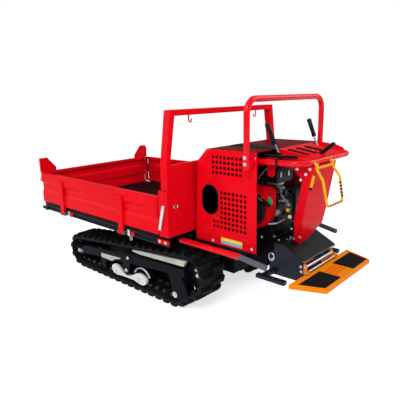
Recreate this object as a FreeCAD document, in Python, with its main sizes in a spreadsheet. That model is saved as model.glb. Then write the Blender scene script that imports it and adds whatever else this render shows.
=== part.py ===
# A crawler carrier: a tracked dumper with a drop-sided bed and a stand-on step at the rear.
# Millimetres. +X points to the dump end, +Y to the machine's left, +Z up, ground at z = 0.
import FreeCAD, Part
import math
import os
import Sketcher
from FreeCAD import Vector

# Driving sizes. "back" sizes are distances ahead of the rear face of the bed's rear wall.
SIZES = [
    # name, millimetres
    ("tab_reach", 30),
    ("rear_reach", 826),
    ("running_gap", 6),
    ("seat_gap", 0.3),
    ("bed_length", 1430),
    ("bed_width", 1080),
    ("floor_top", 492),
    ("floor_plate", 4),
    ("gate_top", 721),
    ("gate_depth", 28),
    ("gate_sheet", 4),
    ("rim_height", 21),
    ("sill_height", 53),
    ("sill_width", 30),
    ("sill_inset", 10),
    ("post_length", 74),
    ("post_top", 760),
    ("wall_top", 903),
    ("wall_sheet", 4),
    ("guard_top", 1199),
    ("guard_tube", 32),
    ("guard_depth", 50),
    ("guard_lean", 45),
    ("strap_width", 45),
    ("strap_depth", 12),
    ("rear_strap", 430),
    ("strap_setback", 300),
    ("hinge_height", 445),
    ("hinge_radius", 12),
    ("hinge_pin", 5),
    ("front_gate_depth", 27),
    ("front_gate_bottom", 410),
    ("gate_inset", 26),
    ("ear_top", 828),
    ("ear_inner", 415),
    ("tip_setback", 210),
    ("shaft_rise", 16),
    ("tip_pin", 14),
    ("track_width", 200),
    ("track_centre", 352),
    ("belt_thick", 22),
    ("lug_height", 24),
    ("lug_foot", 36),
    ("lug_tip", 22),
    ("idler_x", 1120),
    ("idler_radius", 89),
    ("roller_x", 75),
    ("roller_radius", 40),
    ("sprocket_x", -30),
    ("sprocket_z", 240),
    ("sprocket_radius", 109),
    ("bogie_x", 537),
    ("bogie_reach", 125),
    ("beam_depth", 60),
    ("rail_half", 200),
    ("rail_width", 50),
    ("rail_bottom", 330),
    ("rail_top", 410),
    ("rail_wall", 6),
    ("cylinder_run", 410),
    ("cylinder_foot_z", 220),
    ("eye_setback", 190),
    ("cylinder_eye_z", 455),
    ("barrel_radius", 30),
    ("rod_radius", 16),
    ("hood_half", 327),
    ("hood_front", -10),
    ("hood_rear", -448),
    ("hood_bottom", 443),
    ("hood_top", 984),
    ("hood_sheet", 3),
    ("hood_lean", 26),
    ("hood_chamfer", 72),
    ("hole_radius", 9.3),
    ("hole_pitch", 27.4),
    ("hole_rise", 28.4),
    ("deck_depth", 18),
    ("hoop_x", -422),
    ("hoop_top", 1266),
    ("hoop_tube", 16),
    ("hoop_half", 379),
    ("hoop_bend", 70),
    ("rail_z", 930),
    ("handle_tube", 16),
    ("handle_half", 270),
    ("handle_rear", -668),
    ("column_left", 155),
    ("column_right", -100),
    ("box_half", 175),
    ("box_front", -430),
    ("box_rear", -647),
    ("box_bottom", 285),
    ("box_top", 413),
    ("cover_front", -520),
    ("cover_rise", 65),
    ("step_axis_x", -662),
    ("step_axis_z", 345),
    ("step_front_half", 330),
    ("step_rear_half", 262),
    ("step_top", 330),
    ("step_depth", 22),
    ("step_tube", 16),
    ("guard_bar_y", 400),
    ("guard_bar_z", 437),
    ("guard_bar_tube", 17),
]

doc = FreeCAD.newDocument("CrawlerCarrier")
sheet = doc.addObject("Spreadsheet::Sheet", "Sizes")
for row, (name, amount) in enumerate(SIZES, start=1):
    sheet.set("A%d" % row, name)
    sheet.set("B%d" % row, str(amount))
    sheet.setAlias("B%d" % row, name)
doc.recompute()


class Size:
    """A length that carries its value and the sheet expression behind it."""

    def __init__(self, value, text):
        self.value = float(value)
        self.text = text

    def joined(self, other, sign, swap=False):
        first, second = (as_size(other), self) if swap else (self, as_size(other))
        value = {
            "+": lambda a, b: a + b,
            "-": lambda a, b: a - b,
            "*": lambda a, b: a * b,
            "/": lambda a, b: a / b,
        }[sign](first.value, second.value)
        return Size(value, "(%s %s %s)" % (first.text, sign, second.text))

    def __add__(self, other):
        return self.joined(other, "+")

    def __radd__(self, other):
        return self.joined(other, "+", swap=True)

    def __sub__(self, other):
        return self.joined(other, "-")

    def __rsub__(self, other):
        return self.joined(other, "-", swap=True)

    def __mul__(self, other):
        return self.joined(other, "*")

    def __rmul__(self, other):
        return self.joined(other, "*", swap=True)

    def __truediv__(self, other):
        return self.joined(other, "/")

    def __neg__(self):
        return Size(-self.value, "(0 - %s)" % self.text)


def as_size(amount):
    """Turn a plain number into a Size, and leave a Size as it is."""
    if isinstance(amount, Size):
        return amount
    return Size(amount, repr(float(amount)))


class Sheet:
    """Reads each named cell of the sheet as a Size."""

    def __getattr__(self, name):
        return Size(float(sheet.get(name)), "Sizes." + name)


s = Sheet()
NODES = []


def node(label, obj):
    """Name a finished sub-part, which is written to its own file."""
    obj.Label = label
    NODES.append(obj)
    return obj


def bind(obj, prop, amount):
    obj.setExpression(prop, as_size(amount).text)


def bind_place(obj, corner):
    for letter, amount in zip("xyz", corner):
        bind(obj, "Placement.Base." + letter, amount)


def box(low, high):
    obj = doc.addObject("Part::Box", "Box")
    for prop, a, b in zip(("Length", "Width", "Height"), low, high):
        bind(obj, prop, as_size(b) - a)
    bind_place(obj, low)
    return obj


TURNS = {
    "x": FreeCAD.Rotation(Vector(0, 1, 0), 90),
    "y": FreeCAD.Rotation(Vector(1, 0, 0), -90),
    "z": FreeCAD.Rotation(),
}


def rod(axis, start, radius, length):
    """A round bar from start along +axis."""
    obj = doc.addObject("Part::Cylinder", "Rod")
    bind(obj, "Radius", radius)
    bind(obj, "Height", length)
    obj.Placement = FreeCAD.Placement(Vector(), TURNS[axis])
    bind_place(obj, start)
    return obj


def bar(axis, start, radius, length, sides=12):
    """A many-sided bar from start along +axis, for round forms that repeat."""
    obj = doc.addObject("Part::Prism", "Bar")
    obj.Polygon = sides
    bind(obj, "Circumradius", radius)
    bind(obj, "Height", length)
    obj.Placement = FreeCAD.Placement(Vector(), TURNS[axis])
    bind_place(obj, start)
    return obj


def fuse(*pieces):
    obj = doc.addObject("Part::MultiFuse", "Fuse")
    obj.Shapes = list(pieces)
    return obj


def cut(base, tool):
    obj = doc.addObject("Part::Cut", "Cut")
    obj.Base = base
    obj.Tool = tool
    return obj


def group(*pieces):
    """Several solids in one sub-part that don't touch."""
    obj = doc.addObject("Part::Compound", "Group")
    obj.Links = list(pieces)
    return obj


def mirrored(piece):
    """The same piece on the machine's other side."""
    obj = doc.addObject("Part::Mirroring", "Mirror")
    obj.Source = piece
    obj.Base = Vector(0, 0, 0)
    obj.Normal = Vector(0, 1, 0)
    return obj


def solid(shape, name="Form"):
    """A shape worked out in code from the sheet's values."""
    obj = doc.addObject("Part::Feature", name)
    obj.Shape = shape
    return obj


def origin_plane(body, role):
    for item in body.Origin.OriginFeatures:
        if item.Role == role:
            return item
    raise ValueError(role)


def outline_sketch(body, role, outlines, offset):
    """A sketch of closed outlines whose corners are all bound to the sheet."""
    sketch = body.newObject("Sketcher::SketchObject", "Outline")
    sketch.AttachmentSupport = [(origin_plane(body, role), "")]
    sketch.MapMode = "FlatFace"
    bind(sketch, "AttachmentOffset.Base.z", offset)
    for outline in outlines:
        corners = [(as_size(a), as_size(b)) for a, b in outline]
        first = sketch.GeometryCount
        for i, (a, b) in enumerate(corners):
            c, d = corners[(i + 1) % len(corners)]
            start = Vector(a.value, b.value, 0)
            end = Vector(c.value, d.value, 0)
            sketch.addGeometry(Part.LineSegment(start, end), False)
        for i in range(len(corners)):
            after = first + (i + 1) % len(corners)
            sketch.addConstraint(Sketcher.Constraint("Coincident", first + i, 2, after, 1))
        for i, pair in enumerate(corners):
            for kind, amount in zip(("DistanceX", "DistanceY"), pair):
                rule = Sketcher.Constraint(kind, -1, 1, first + i, 1, amount.value)
                number = sketch.addConstraint(rule)
                if "Sizes." in amount.text:
                    sketch.setExpression("Constraints[%d]" % number, amount.text)
    return sketch


def prism(role, outlines, start, thickness):
    """A padded outline. XZ pads run along +Y, YZ pads along +X and XY pads along +Z."""
    if not isinstance(outlines[0], list):
        outlines = [outlines]
    body = doc.addObject("PartDesign::Body", "Body")
    towards_back = role == "XZ_Plane"
    offset = -as_size(start) if towards_back else start
    sketch = outline_sketch(body, role, outlines, offset)
    pad = body.newObject("PartDesign::Pad", "Pad")
    pad.Profile = sketch
    bind(pad, "Length", thickness)
    pad.Reversed = towards_back
    return body


def turned(profile, centre):
    """A body turned about the Y axis through centre. The profile is (radius, y) pairs."""
    body = doc.addObject("PartDesign::Body", "Turned")
    sketch = outline_sketch(body, "XY_Plane", [profile], 0)
    spin = body.newObject("PartDesign::Revolution", "Spin")
    spin.Profile = sketch
    spin.ReferenceAxis = (sketch, ["V_Axis"])
    spin.Angle = 360
    bind_place(body, centre)
    return body


def section(centre, line, radius, sides):
    """A regular outline square to a line, which stands for a round section."""
    line = Vector(line).normalize()
    across = line.cross(Vector(0, 0, 1))
    if across.Length < 0.1:
        across = Vector(1, 0, 0)
    across.normalize()
    up = across.cross(line)
    corners = []
    for k in range(sides):
        angle = 2 * math.pi * k / sides
        corners.append(centre + across * (radius * math.cos(angle)) + up * (radius * math.sin(angle)))
    return Part.Wire(Part.makePolygon(corners + corners[:1]).Edges)


def bent_line(points, bend, steps):
    """The centre line of a tube, whose bends are a few short straight runs."""
    line = [points[0]]
    for before, corner, after in zip(points, points[1:], points[2:]):
        back = (before - corner).normalize()
        on = (after - corner).normalize()
        half = back.getAngle(on) / 2
        reach = bend / math.tan(half)
        start = corner + back * reach
        end = corner + on * reach
        centre = corner + (back + on).normalize() * (bend / math.sin(half))
        turn = math.pi - 2 * half
        for k in range(steps + 1):
            share = k / steps
            first = (start - centre) * (math.sin((1 - share) * turn) / math.sin(turn))
            second = (end - centre) * (math.sin(share * turn) / math.sin(turn))
            line.append(centre + first + second)
    line.append(points[-1])
    return line


def tube(points, radius, bend, sides=8, steps=3):
    """A tube of flat sides along a bent line, mitred wherever the line turns."""
    points = [Vector(*[as_size(c).value for c in p]) for p in points]
    line = bent_line(points, as_size(bend).value, steps)
    ring = [edge.Vertexes[0].Point for edge in section(line[0], line[1] - line[0], as_size(radius).value, sides).Edges]
    faces = [Part.Face(Part.makePolygon(ring + ring[:1]))]
    for k in range(1, len(line)):
        run = (line[k] - line[k - 1]).normalize()
        onward = (line[k + 1] - line[k]).normalize() if k + 1 < len(line) else run
        mitre = (run + onward).normalize()
        following = [p + run * ((line[k] - p).dot(mitre) / run.dot(mitre)) for p in ring]
        for i in range(sides):
            corners = [ring[i - 1], ring[i], following[i], following[i - 1]]
            faces.append(Part.Face(Part.makePolygon(corners + corners[:1])))
        ring = following
    faces.append(Part.Face(Part.makePolygon(ring + ring[:1])))
    shape = Part.makeSolid(Part.makeShell(faces))
    if shape.Volume < 0:
        shape.reverse()
    return solid(shape, "Tube")



# Places worked out from the driving sizes

front_reach = s.bed_length + s.front_gate_depth + s.tab_reach
wall_x = (s.rear_reach - front_reach) / 2
bed_half = s.bed_width / 2
tip_x = s.bed_length - s.tip_setback
shaft_z = s.rail_top + s.shaft_rise
cylinder_eye_x = tip_x - s.eye_setback
cylinder_foot_x = cylinder_eye_x - s.cylinder_run
front_strap = s.bed_length - s.strap_setback
front_gate_half = bed_half - s.gate_inset
gate_bottom = s.floor_top + s.running_gap
side_gate_rear = wall_x + s.post_length + s.running_gap
side_gate_front = wall_x + s.bed_length - s.running_gap
front_gate_x = wall_x + s.bed_length
sill_outer = bed_half - s.sill_inset
sill_bottom = s.floor_top - s.floor_plate - s.sill_height
hinge_y = bed_half + s.strap_depth - 4
idler_z = s.belt_thick + s.lug_height + s.idler_radius
roller_z = s.belt_thick + s.lug_height + s.roller_radius


# Tracks: a belt around idler, rear roller and sprocket, with lugs on its outer face

def belt_path():
    """The belt's inner path as runs, each (length, function giving point and outward normal)."""
    wheels = [
        ((wall_x + s.idler_x).value, idler_z.value, s.idler_radius.value),
        ((wall_x + s.roller_x).value, roller_z.value, s.roller_radius.value),
        ((wall_x + s.sprocket_x).value, s.sprocket_z.value, s.sprocket_radius.value),
    ]
    tangents = []
    for (ax, az, ar), (bx, bz, br) in zip(wheels, wheels[1:] + wheels[:1]):
        along = math.atan2(bz - az, bx - ax)
        lean = math.acos((ar - br) / math.hypot(bx - ax, bz - az))
        tangents.append(along + lean)
    return wheels, tangents


def belt_runs(grow):
    """Lines and arcs of the path at a distance outside the wheels, clockwise seen from -Y."""
    wheels, tangents = belt_path()
    runs = []
    for i, (x, z, radius) in enumerate(wheels):
        start = tangents[i - 1]
        turn = (start - tangents[i]) % (2 * math.pi)
        runs.append(("arc", x, z, radius + grow, start, turn))
        nx, nz, nr = wheels[(i + 1) % len(wheels)]
        out = (math.cos(tangents[i]), math.sin(tangents[i]))
        a = (x + out[0] * (radius + grow), z + out[1] * (radius + grow))
        b = (nx + out[0] * (nr + grow), nz + out[1] * (nr + grow))
        runs.append(("line", a, b, out))
    return runs


def run_length(run):
    if run[0] == "arc":
        return run[3] * run[5]
    return math.dist(run[1], run[2])


def belt_point(runs, distance, lift=0.0):
    """The point at a distance along the runs, lifted outwards."""
    distance = distance % sum(run_length(run) for run in runs)
    for run in runs:
        length = run_length(run)
        if distance <= length:
            break
        distance -= length
    if run[0] == "arc":
        angle = run[4] - distance / run[3]
        reach = run[3] + lift
        return Vector(run[1] + reach * math.cos(angle), 0, run[2] + reach * math.sin(angle))
    share = distance / length
    x = run[1][0] + (run[2][0] - run[1][0]) * share + run[3][0] * lift
    z = run[1][1] + (run[2][1] - run[1][1]) * share + run[3][1] * lift
    return Vector(x, 0, z)


LUG_PITCH = 72.0


def belt_half(low_y, high_y, phase):
    """One half of the belt's width, with its row of lugs, as an extruded outline."""
    runs = belt_runs(s.belt_thick.value)
    total = sum(run_length(run) for run in runs)
    count = round(total / LUG_PITCH)
    pitch = total / count
    foot = s.lug_foot.value / 2
    tip = s.lug_tip.value / 2
    lift = s.lug_height.value
    edges = []
    for k in range(count):
        at = (k + phase) * pitch
        a = belt_point(runs, at - foot)
        b = belt_point(runs, at - tip, lift)
        c = belt_point(runs, at + tip, lift)
        d = belt_point(runs, at + foot)
        following = belt_point(runs, at + pitch - foot)
        middle = belt_point(runs, at + pitch / 2)
        edges.append(Part.LineSegment(a, b).toShape())
        edges.append(Part.LineSegment(b, c).toShape())
        edges.append(Part.LineSegment(c, d).toShape())
        if middle.distanceToLine(d, following - d) < 0.05:
            edges.append(Part.LineSegment(d, following).toShape())
        else:
            edges.append(Part.Arc(d, middle, following).toShape())
    outer = Part.Wire(edges)
    inner_edges = []
    for run in belt_runs(0.0):
        if run[0] == "line":
            ends = [Vector(p[0], 0, p[1]) for p in run[1:3]]
            inner_edges.append(Part.LineSegment(*ends).toShape())
        else:
            stops = [run[4] - run[5] * share for share in (0.0, 0.5, 1.0)]
            spots = [Vector(run[1] + run[3] * math.cos(t), 0, run[2] + run[3] * math.sin(t)) for t in stops]
            inner_edges.append(Part.Arc(*spots).toShape())
    inner = Part.Wire(inner_edges)
    face = Part.makeFace([outer, inner], "Part::FaceMakerBullseye")
    face.translate(Vector(0, low_y, 0))
    return face.extrude(Vector(0, high_y - low_y, 0))


def track():
    centre = s.track_centre.value
    half = s.track_width.value / 2
    outer = belt_half(centre, centre + half, 0.0)
    inner = belt_half(centre - half, centre, 0.5)
    return solid(outer.fuse(inner).removeSplitter(), "Track")


track_left = node("track_left", track())
node("track_right", mirrored(track_left))


# Wheels inside the tracks: the idler, the toothed sprocket and the rollers on their axles

beam_outer = s.track_centre + s.track_width / 2 - 4
beam_inner = beam_outer - s.beam_depth / 2
inner_plate = s.track_centre - 64
axle_inner = inner_plate + 8 + s.seat_gap


def idler():
    """A wheel with a wide rim, a thin web and a hub."""
    x = wall_x + s.idler_x
    radius = s.idler_radius - s.seat_gap
    rim = cut(
        bar("y", (x, s.track_centre - 30, idler_z), radius, 60, 24),
        bar("y", (x, s.track_centre - 40, idler_z), radius - 14, 80, 24),
    )
    web = bar("y", (x, s.track_centre - 6, idler_z), radius - 14, 12, 24)
    hub = bar("y", (x, s.track_centre - 34, idler_z), 30, 68)
    axle = bar("y", (x, axle_inner, idler_z), 14, beam_inner - s.seat_gap - axle_inner, 8)
    return fuse(rim, web, hub, axle)


def sprocket():
    """A toothed disc: teeth stand from the root circle out to the belt's inner face."""
    teeth = 11
    radius = (s.sprocket_radius - s.seat_gap).value
    root = radius - 20
    step = 2 * math.pi / teeth
    corners = []
    for k in range(teeth):
        for share, reach in ((-0.34, root), (-0.16, radius), (0.16, radius), (0.34, root)):
            angle = (k + share) * step
            corners.append(Vector(reach * math.cos(angle), 0, reach * math.sin(angle)))
    face = Part.Face(Part.makePolygon(corners + corners[:1]))
    disc = face.extrude(Vector(0, 40, 0))
    place = Vector((wall_x + s.sprocket_x).value, s.track_centre.value - 20, s.sprocket_z.value)
    disc.translate(place)
    hub = bar("y", (wall_x + s.sprocket_x, s.track_centre - 35, s.sprocket_z), 45, 70)
    return fuse(solid(disc, "Sprocket"), hub)


idler_left = idler()
sprocket_left = sprocket()
node("track_wheels", group(idler_left, sprocket_left, mirrored(idler_left), mirrored(sprocket_left)))


def roller(x):
    """A roller with its axle, which ends at the plate that carries it."""
    place = wall_x + x
    tread = bar("y", (place, s.track_centre - 34, roller_z), s.roller_radius - s.seat_gap, 68, 16)
    axle = bar("y", (place, axle_inner, roller_z), 10, beam_inner - s.seat_gap - axle_inner, 8)
    return fuse(tread, axle)


front_roller_x = s.bogie_x + s.bogie_reach * 2.4
roller_places = [
    # distance ahead of the rear wall
    s.roller_x,
    s.bogie_x - s.bogie_reach,
    s.bogie_x + s.bogie_reach,
    front_roller_x,
]
rollers_left = [roller(x) for x in roller_places]
node("track_rollers", group(*(rollers_left + [mirrored(r) for r in rollers_left])))


# Track frames: a tapered beam outside the wheels, with axles that run through them

beam = prism(
    "XZ_Plane",
    [
        (wall_x + s.sprocket_x + 130, 186),
        (wall_x + s.roller_x - 40, 262),
        (wall_x + s.roller_x + 120, 270),
        (wall_x + s.idler_x - 70, 190),
        (wall_x + s.idler_x - 30, idler_z + 24),
        (wall_x + s.idler_x + 36, idler_z + 24),
        (wall_x + s.idler_x + 36, idler_z - 24),
        (wall_x + s.idler_x - 30, idler_z - 24),
        (wall_x + s.idler_x - 70, idler_z - 8),
        (wall_x + s.roller_x + 160, 176),
        (wall_x + s.roller_x + 30, roller_z - 24),
        (wall_x + s.roller_x - 30, roller_z - 24),
    ],
    beam_inner,
    s.beam_depth / 2,
)
front_hanger = prism(
    "XZ_Plane",
    [
        (wall_x + front_roller_x - 22, 62),
        (wall_x + front_roller_x + 22, 62),
        (wall_x + front_roller_x + 32, 150),
        (wall_x + front_roller_x - 32, 150),
    ],
    beam_inner,
    10,
)
# The bogie's bracket hangs outside its arm
bogie_bracket = prism(
    "XZ_Plane",
    [
        (wall_x + s.bogie_x - 44, 170),
        (wall_x + s.bogie_x - 20, roller_z + 24),
        (wall_x + s.bogie_x + 20, roller_z + 24),
        (wall_x + s.bogie_x + 44, 170),
    ],
    beam_outer - 8,
    8,
)
# A plate on the wheels' inner side carries the other ends of their axles
inner_web = prism(
    "XZ_Plane",
    [
        (wall_x + s.roller_x - 20, 64),
        (wall_x + front_roller_x + 60, 64),
        (wall_x + s.idler_x + 26, idler_z - 22),
        (wall_x + s.idler_x + 26, idler_z + 22),
        (wall_x + s.idler_x - 50, idler_z + 50),
        (wall_x + s.roller_x + 60, 276),
        (wall_x + s.roller_x - 20, 270),
    ],
    inner_plate,
    8,
)
cross_places = [
    # distance ahead of the rear wall, underside
    (s.roller_x + 140, 205),
    (s.bogie_x + 300, 158),
]
cross_arms = [
    box((wall_x + x - 25, s.rail_half - s.rail_width, low), (wall_x + x + 25, beam_inner + 5, low + 40))
    for x, low in cross_places
]
cross_posts = [
    box(
        (wall_x + x - 25, s.rail_half - s.rail_width, low + 35),
        (wall_x + x + 25, s.rail_half, s.rail_bottom),
    )
    for x, low in cross_places
]
slide_brackets = [
    # distance ahead of the rear wall, top
    (70, 297),
    (430, 262),
]
slide_shelves = [
    box((wall_x + x - 20, beam_inner - 26, top - 45), (wall_x + x + 20, beam_inner + 6, top))
    for x, top in slide_brackets
]
frame_left = fuse(beam, inner_web, front_hanger, bogie_bracket, *cross_arms, *cross_posts, *slide_shelves)
track_frame_left = node("track_frame_left", frame_left)
node("track_frame_right", mirrored(track_frame_left))

# Slide rails under the belt's upper run, and the tensioner's cover on the beam
slide_rail = prism(
    "XZ_Plane",
    [
        (wall_x + 490, 262 + s.seat_gap),
        (wall_x + 490, 281),
        (wall_x + 280, 302),
        (wall_x - 10, 329),
        (wall_x - 10, 305),
        (wall_x + 50, 297 + s.seat_gap),
        (wall_x + 95, 297 + s.seat_gap),
        (wall_x + 400, 262 + s.seat_gap),
    ],
    beam_inner - 26,
    22,
)
tensioner_cover = prism(
    "XZ_Plane",
    [
        (wall_x + 590, 184),
        (wall_x + 600, 206),
        (wall_x + 810, 186),
        (wall_x + 820, 164),
    ],
    beam_outer + s.seat_gap,
    3,
)
node("slide_rails", group(slide_rail, tensioner_cover, mirrored(slide_rail), mirrored(tensioner_cover)))

# Bogie arms carry the two middle rollers and pivot on the beam's bracket
bogie_arm = prism(
    "XZ_Plane",
    [
        (wall_x + s.bogie_x - s.bogie_reach - 26, roller_z - 12),
        (wall_x + s.bogie_x - s.bogie_reach + 10, roller_z - 16),
        (wall_x + s.bogie_x - 60, roller_z + 16),
        (wall_x + s.bogie_x + 60, roller_z + 16),
        (wall_x + s.bogie_x + s.bogie_reach - 10, roller_z - 16),
        (wall_x + s.bogie_x + s.bogie_reach + 26, roller_z - 12),
        (wall_x + s.bogie_x + s.bogie_reach + 20, roller_z + 18),
        (wall_x + s.bogie_x + 70, roller_z + 46),
        (wall_x + s.bogie_x - 70, roller_z + 46),
        (wall_x + s.bogie_x - s.bogie_reach - 20, roller_z + 18),
    ],
    beam_inner,
    16,
)
bogie_boss = bar(
    "y",
    (wall_x + s.bogie_x, beam_inner - 6, roller_z + 34),
    12,
    s.beam_depth / 2 - 2 - s.seat_gap,
)
bogie_left = fuse(bogie_arm, bogie_boss)
node("bogies", group(bogie_left, mirrored(bogie_left)))


# Chassis: two box rails with cross members, and the pivot pins of the bed at their front ends

rail_front = tip_x + 42
rail_rear = s.box_front


def rail_box(inset):
    return box(
        (wall_x + rail_rear + inset, s.rail_half - s.rail_width + inset, s.rail_bottom + inset),
        (wall_x + rail_front - inset, s.rail_half - inset, s.rail_top - inset),
    )


rail = cut(rail_box(0), rail_box(s.rail_wall))
side_frames = [rail, mirrored(rail)]
cross_member_x = [60, 420, tip_x - 40]
cross_members = [
    box(
        (wall_x + x, -(s.rail_half - s.rail_width), s.rail_bottom),
        (wall_x + x + 50, s.rail_half - s.rail_width, s.rail_top - 20),
    )
    for x in cross_member_x
]
chassis = fuse(*side_frames, *cross_members)
node("chassis_frame", chassis)

pin_length = 2 * (s.rail_half + 46)
node(
    "tip_shaft",
    fuse(
        rod("y", (wall_x + tip_x, -(s.rail_half + 46), shaft_z), s.tip_pin, pin_length),
        box(
            (wall_x + tip_x - 25, s.rail_half - s.rail_width + 5, s.rail_top),
            (wall_x + tip_x + 25, s.rail_half - 5, s.rail_top + 12),
        ),
        box(
            (wall_x + tip_x - 25, -(s.rail_half - 5), s.rail_top),
            (wall_x + tip_x + 25, -(s.rail_half - s.rail_width + 5), s.rail_top + 12),
        ),
    ),
)
# Gearbox and final drives between the chassis rails and the sprockets
shaft_reach = s.track_centre - 35 - s.seat_gap
case_half = s.rail_half - s.rail_width - 8
gearbox = fuse(
    box((wall_x - 150, -case_half, 190), (wall_x + 50, case_half, 400)),
    bar("y", (wall_x + s.sprocket_x, -shaft_reach, s.sprocket_z), 20, 2 * shaft_reach),
    bar("y", (wall_x + s.sprocket_x, -inner_plate, s.sprocket_z), 42, 2 * inner_plate, 16),
)
node("gearbox", gearbox)


# Bed

floor_plate = box(
    (wall_x + s.wall_sheet, -(bed_half - 41), s.floor_top - s.floor_plate),
    (wall_x + s.bed_length - s.running_gap, bed_half - 41, s.floor_top),
)
side_sill = box(
    (wall_x + 2, sill_outer - s.sill_width, sill_bottom),
    (wall_x + s.bed_length - 36, sill_outer, s.floor_top - s.floor_plate),
)
sill_groove = box(
    (wall_x + 2, sill_outer - s.sill_width, sill_bottom + s.wall_sheet),
    (wall_x + s.bed_length - 36, sill_outer - s.wall_sheet, s.floor_top - 2 * s.floor_plate),
)
sill = cut(side_sill, sill_groove)
beam_step = (s.bed_length - 170) / 3
floor_beam_x = [beam_step * k + 70 for k in range(4)]
floor_beams = [
    box(
        (wall_x + x, -(sill_outer - s.wall_sheet), s.floor_top - s.floor_plate - 34),
        (wall_x + x + 40, sill_outer - s.wall_sheet, s.floor_top - s.floor_plate),
    )
    for x in floor_beam_x
]
pivot_plate_outline = [
    (wall_x + tip_x - 60, s.floor_top - s.floor_plate),
    (wall_x + tip_x - 22, shaft_z - 22),
    (wall_x + tip_x + 22, shaft_z - 22),
    (wall_x + tip_x + 60, s.floor_top - s.floor_plate),
]
pivot_plate = cut(
    prism("XZ_Plane", pivot_plate_outline, s.rail_half + 14, 16),
    rod("y", (wall_x + tip_x, s.rail_half, shaft_z), s.tip_pin + 0.05, 60),
)
eye_plate_outline = [
    (wall_x + cylinder_eye_x - 50, s.floor_top - s.floor_plate),
    (wall_x + cylinder_eye_x - 22, s.cylinder_eye_z - 22),
    (wall_x + cylinder_eye_x + 22, s.cylinder_eye_z - 22),
    (wall_x + cylinder_eye_x + 50, s.floor_top - s.floor_plate),
]
eye_plate = prism("XZ_Plane", eye_plate_outline, 22, 8)
node("bed_floor", fuse(floor_plate, sill, mirrored(sill), *floor_beams))

# Rear wall with its corner posts
wall_plate = box(
    (wall_x, -(bed_half - 4), s.floor_top + s.seat_gap),
    (wall_x + s.wall_sheet, bed_half - 4, s.wall_top),
)
wall_rim = box(
    (wall_x, -(bed_half - 40), s.wall_top - 30),
    (wall_x + 25, bed_half - 40, s.wall_top),
)


def post_box(inset):
    return box(
        (wall_x + inset, bed_half - 40 + inset, s.floor_top + s.seat_gap),
        (wall_x + s.post_length - inset, bed_half - inset, s.post_top),
    )


post = cut(post_box(0), post_box(s.wall_sheet))
node("rear_wall", fuse(wall_plate, wall_rim, post, mirrored(post)))

# Guard frame over the rear wall
guard_low = bed_half - 7
guard_high = guard_low - s.guard_lean
guard_outline = [
    (guard_low, s.post_top + s.seat_gap),
    (guard_low, s.wall_top),
    (guard_high, s.guard_top),
    (-guard_high, s.guard_top),
    (-guard_low, s.wall_top),
    (-guard_low, s.post_top + s.seat_gap),
    (-guard_low + s.guard_tube, s.post_top + s.seat_gap),
    (-guard_low + s.guard_tube, s.wall_top),
    (-guard_high + s.guard_tube, s.guard_top - s.guard_tube),
    (guard_high - s.guard_tube, s.guard_top - s.guard_tube),
    (guard_low - s.guard_tube, s.wall_top),
    (guard_low - s.guard_tube, s.post_top + s.seat_gap),
]
node("guard_frame", prism("YZ_Plane", guard_outline, wall_x + s.wall_sheet + s.seat_gap, s.guard_depth))
hook_x = wall_x + s.wall_sheet + s.guard_depth / 2
hook_top = s.guard_top - s.guard_tube - s.seat_gap
hook_left = tube(
    [
        (hook_x, 323, hook_top),
        (hook_x, 323, hook_top - 40),
        (hook_x, 301, hook_top - 40),
        (hook_x, 301, hook_top - 22),
    ],
    4,
    10,
    sides=6,
)
node("rope_hooks", group(hook_left, mirrored(hook_left)))


# Side gates: a sheet with a pressed swage, a box rim and ribs that run down to the hinge eyes

skin = bed_half
skin_inner = bed_half - s.gate_sheet
gate_inner = bed_half - s.gate_depth
swage = s.gate_depth / 3
gate_outline = [
    (skin, gate_bottom),
    (skin, 575),
    (skin - swage, 590),
    (skin - swage, 640),
    (skin, 655),
    (skin, s.gate_top),
    (gate_inner, s.gate_top),
    (gate_inner, s.gate_top - s.rim_height),
    (skin_inner, s.gate_top - s.rim_height),
    (skin_inner, 657),
    (skin_inner - swage, 642),
    (skin_inner - swage, 588),
    (skin_inner, 573),
    (skin_inner, gate_bottom + 8),
    (gate_inner, gate_bottom + 8),
    (gate_inner, gate_bottom),
]
side_gate_panel = prism("YZ_Plane", gate_outline, side_gate_rear, side_gate_front - side_gate_rear)
gate_ends = [
    box((x, gate_inner, gate_bottom), (x + s.gate_sheet, skin - swage, s.gate_top))
    for x in (side_gate_rear, side_gate_front - s.gate_sheet)
]


def gate_strap(x):
    """A rib on the gate's outer face with the hinge eye at its foot."""
    rib = box(
        (wall_x + x - s.strap_width / 2, bed_half - 1, s.hinge_height),
        (wall_x + x + s.strap_width / 2, bed_half + s.strap_depth, 682),
    )
    eye = bar(
        "x",
        (wall_x + x - s.strap_width / 2, hinge_y, s.hinge_height),
        s.hinge_radius,
        s.strap_width,
        12,
    )
    bore = rod(
        "x",
        (wall_x + x - s.strap_width, hinge_y, s.hinge_height),
        s.hinge_pin + 0.1,
        2 * s.strap_width,
    )
    return cut(fuse(rib, eye), bore)


side_gate_left = node(
    "side_gate_left",
    fuse(side_gate_panel, *gate_ends, gate_strap(s.rear_strap), gate_strap(front_strap)),
)
node("side_gate_right", mirrored(side_gate_left))


def hinge_bracket(x):
    """Two lugs on the sill with the pin that the gate's eye turns on."""
    reach = s.strap_width / 2 + 1
    pin = bar("x", (wall_x + x - reach, hinge_y, s.hinge_height), s.hinge_pin, 2 * reach)
    lugs = []
    for side in (-1, 1):
        near = wall_x + x + (reach if side > 0 else -reach - 8)
        lugs.append(
            box(
                (near, sill_outer, s.hinge_height - 10),
                (near + 8, hinge_y + 8, s.hinge_height + 10),
            )
        )
    return fuse(pin, *lugs)


brackets_left = group(hinge_bracket(s.rear_strap), hinge_bracket(front_strap))
node("hinge_brackets", group(brackets_left, mirrored(brackets_left)))

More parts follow.
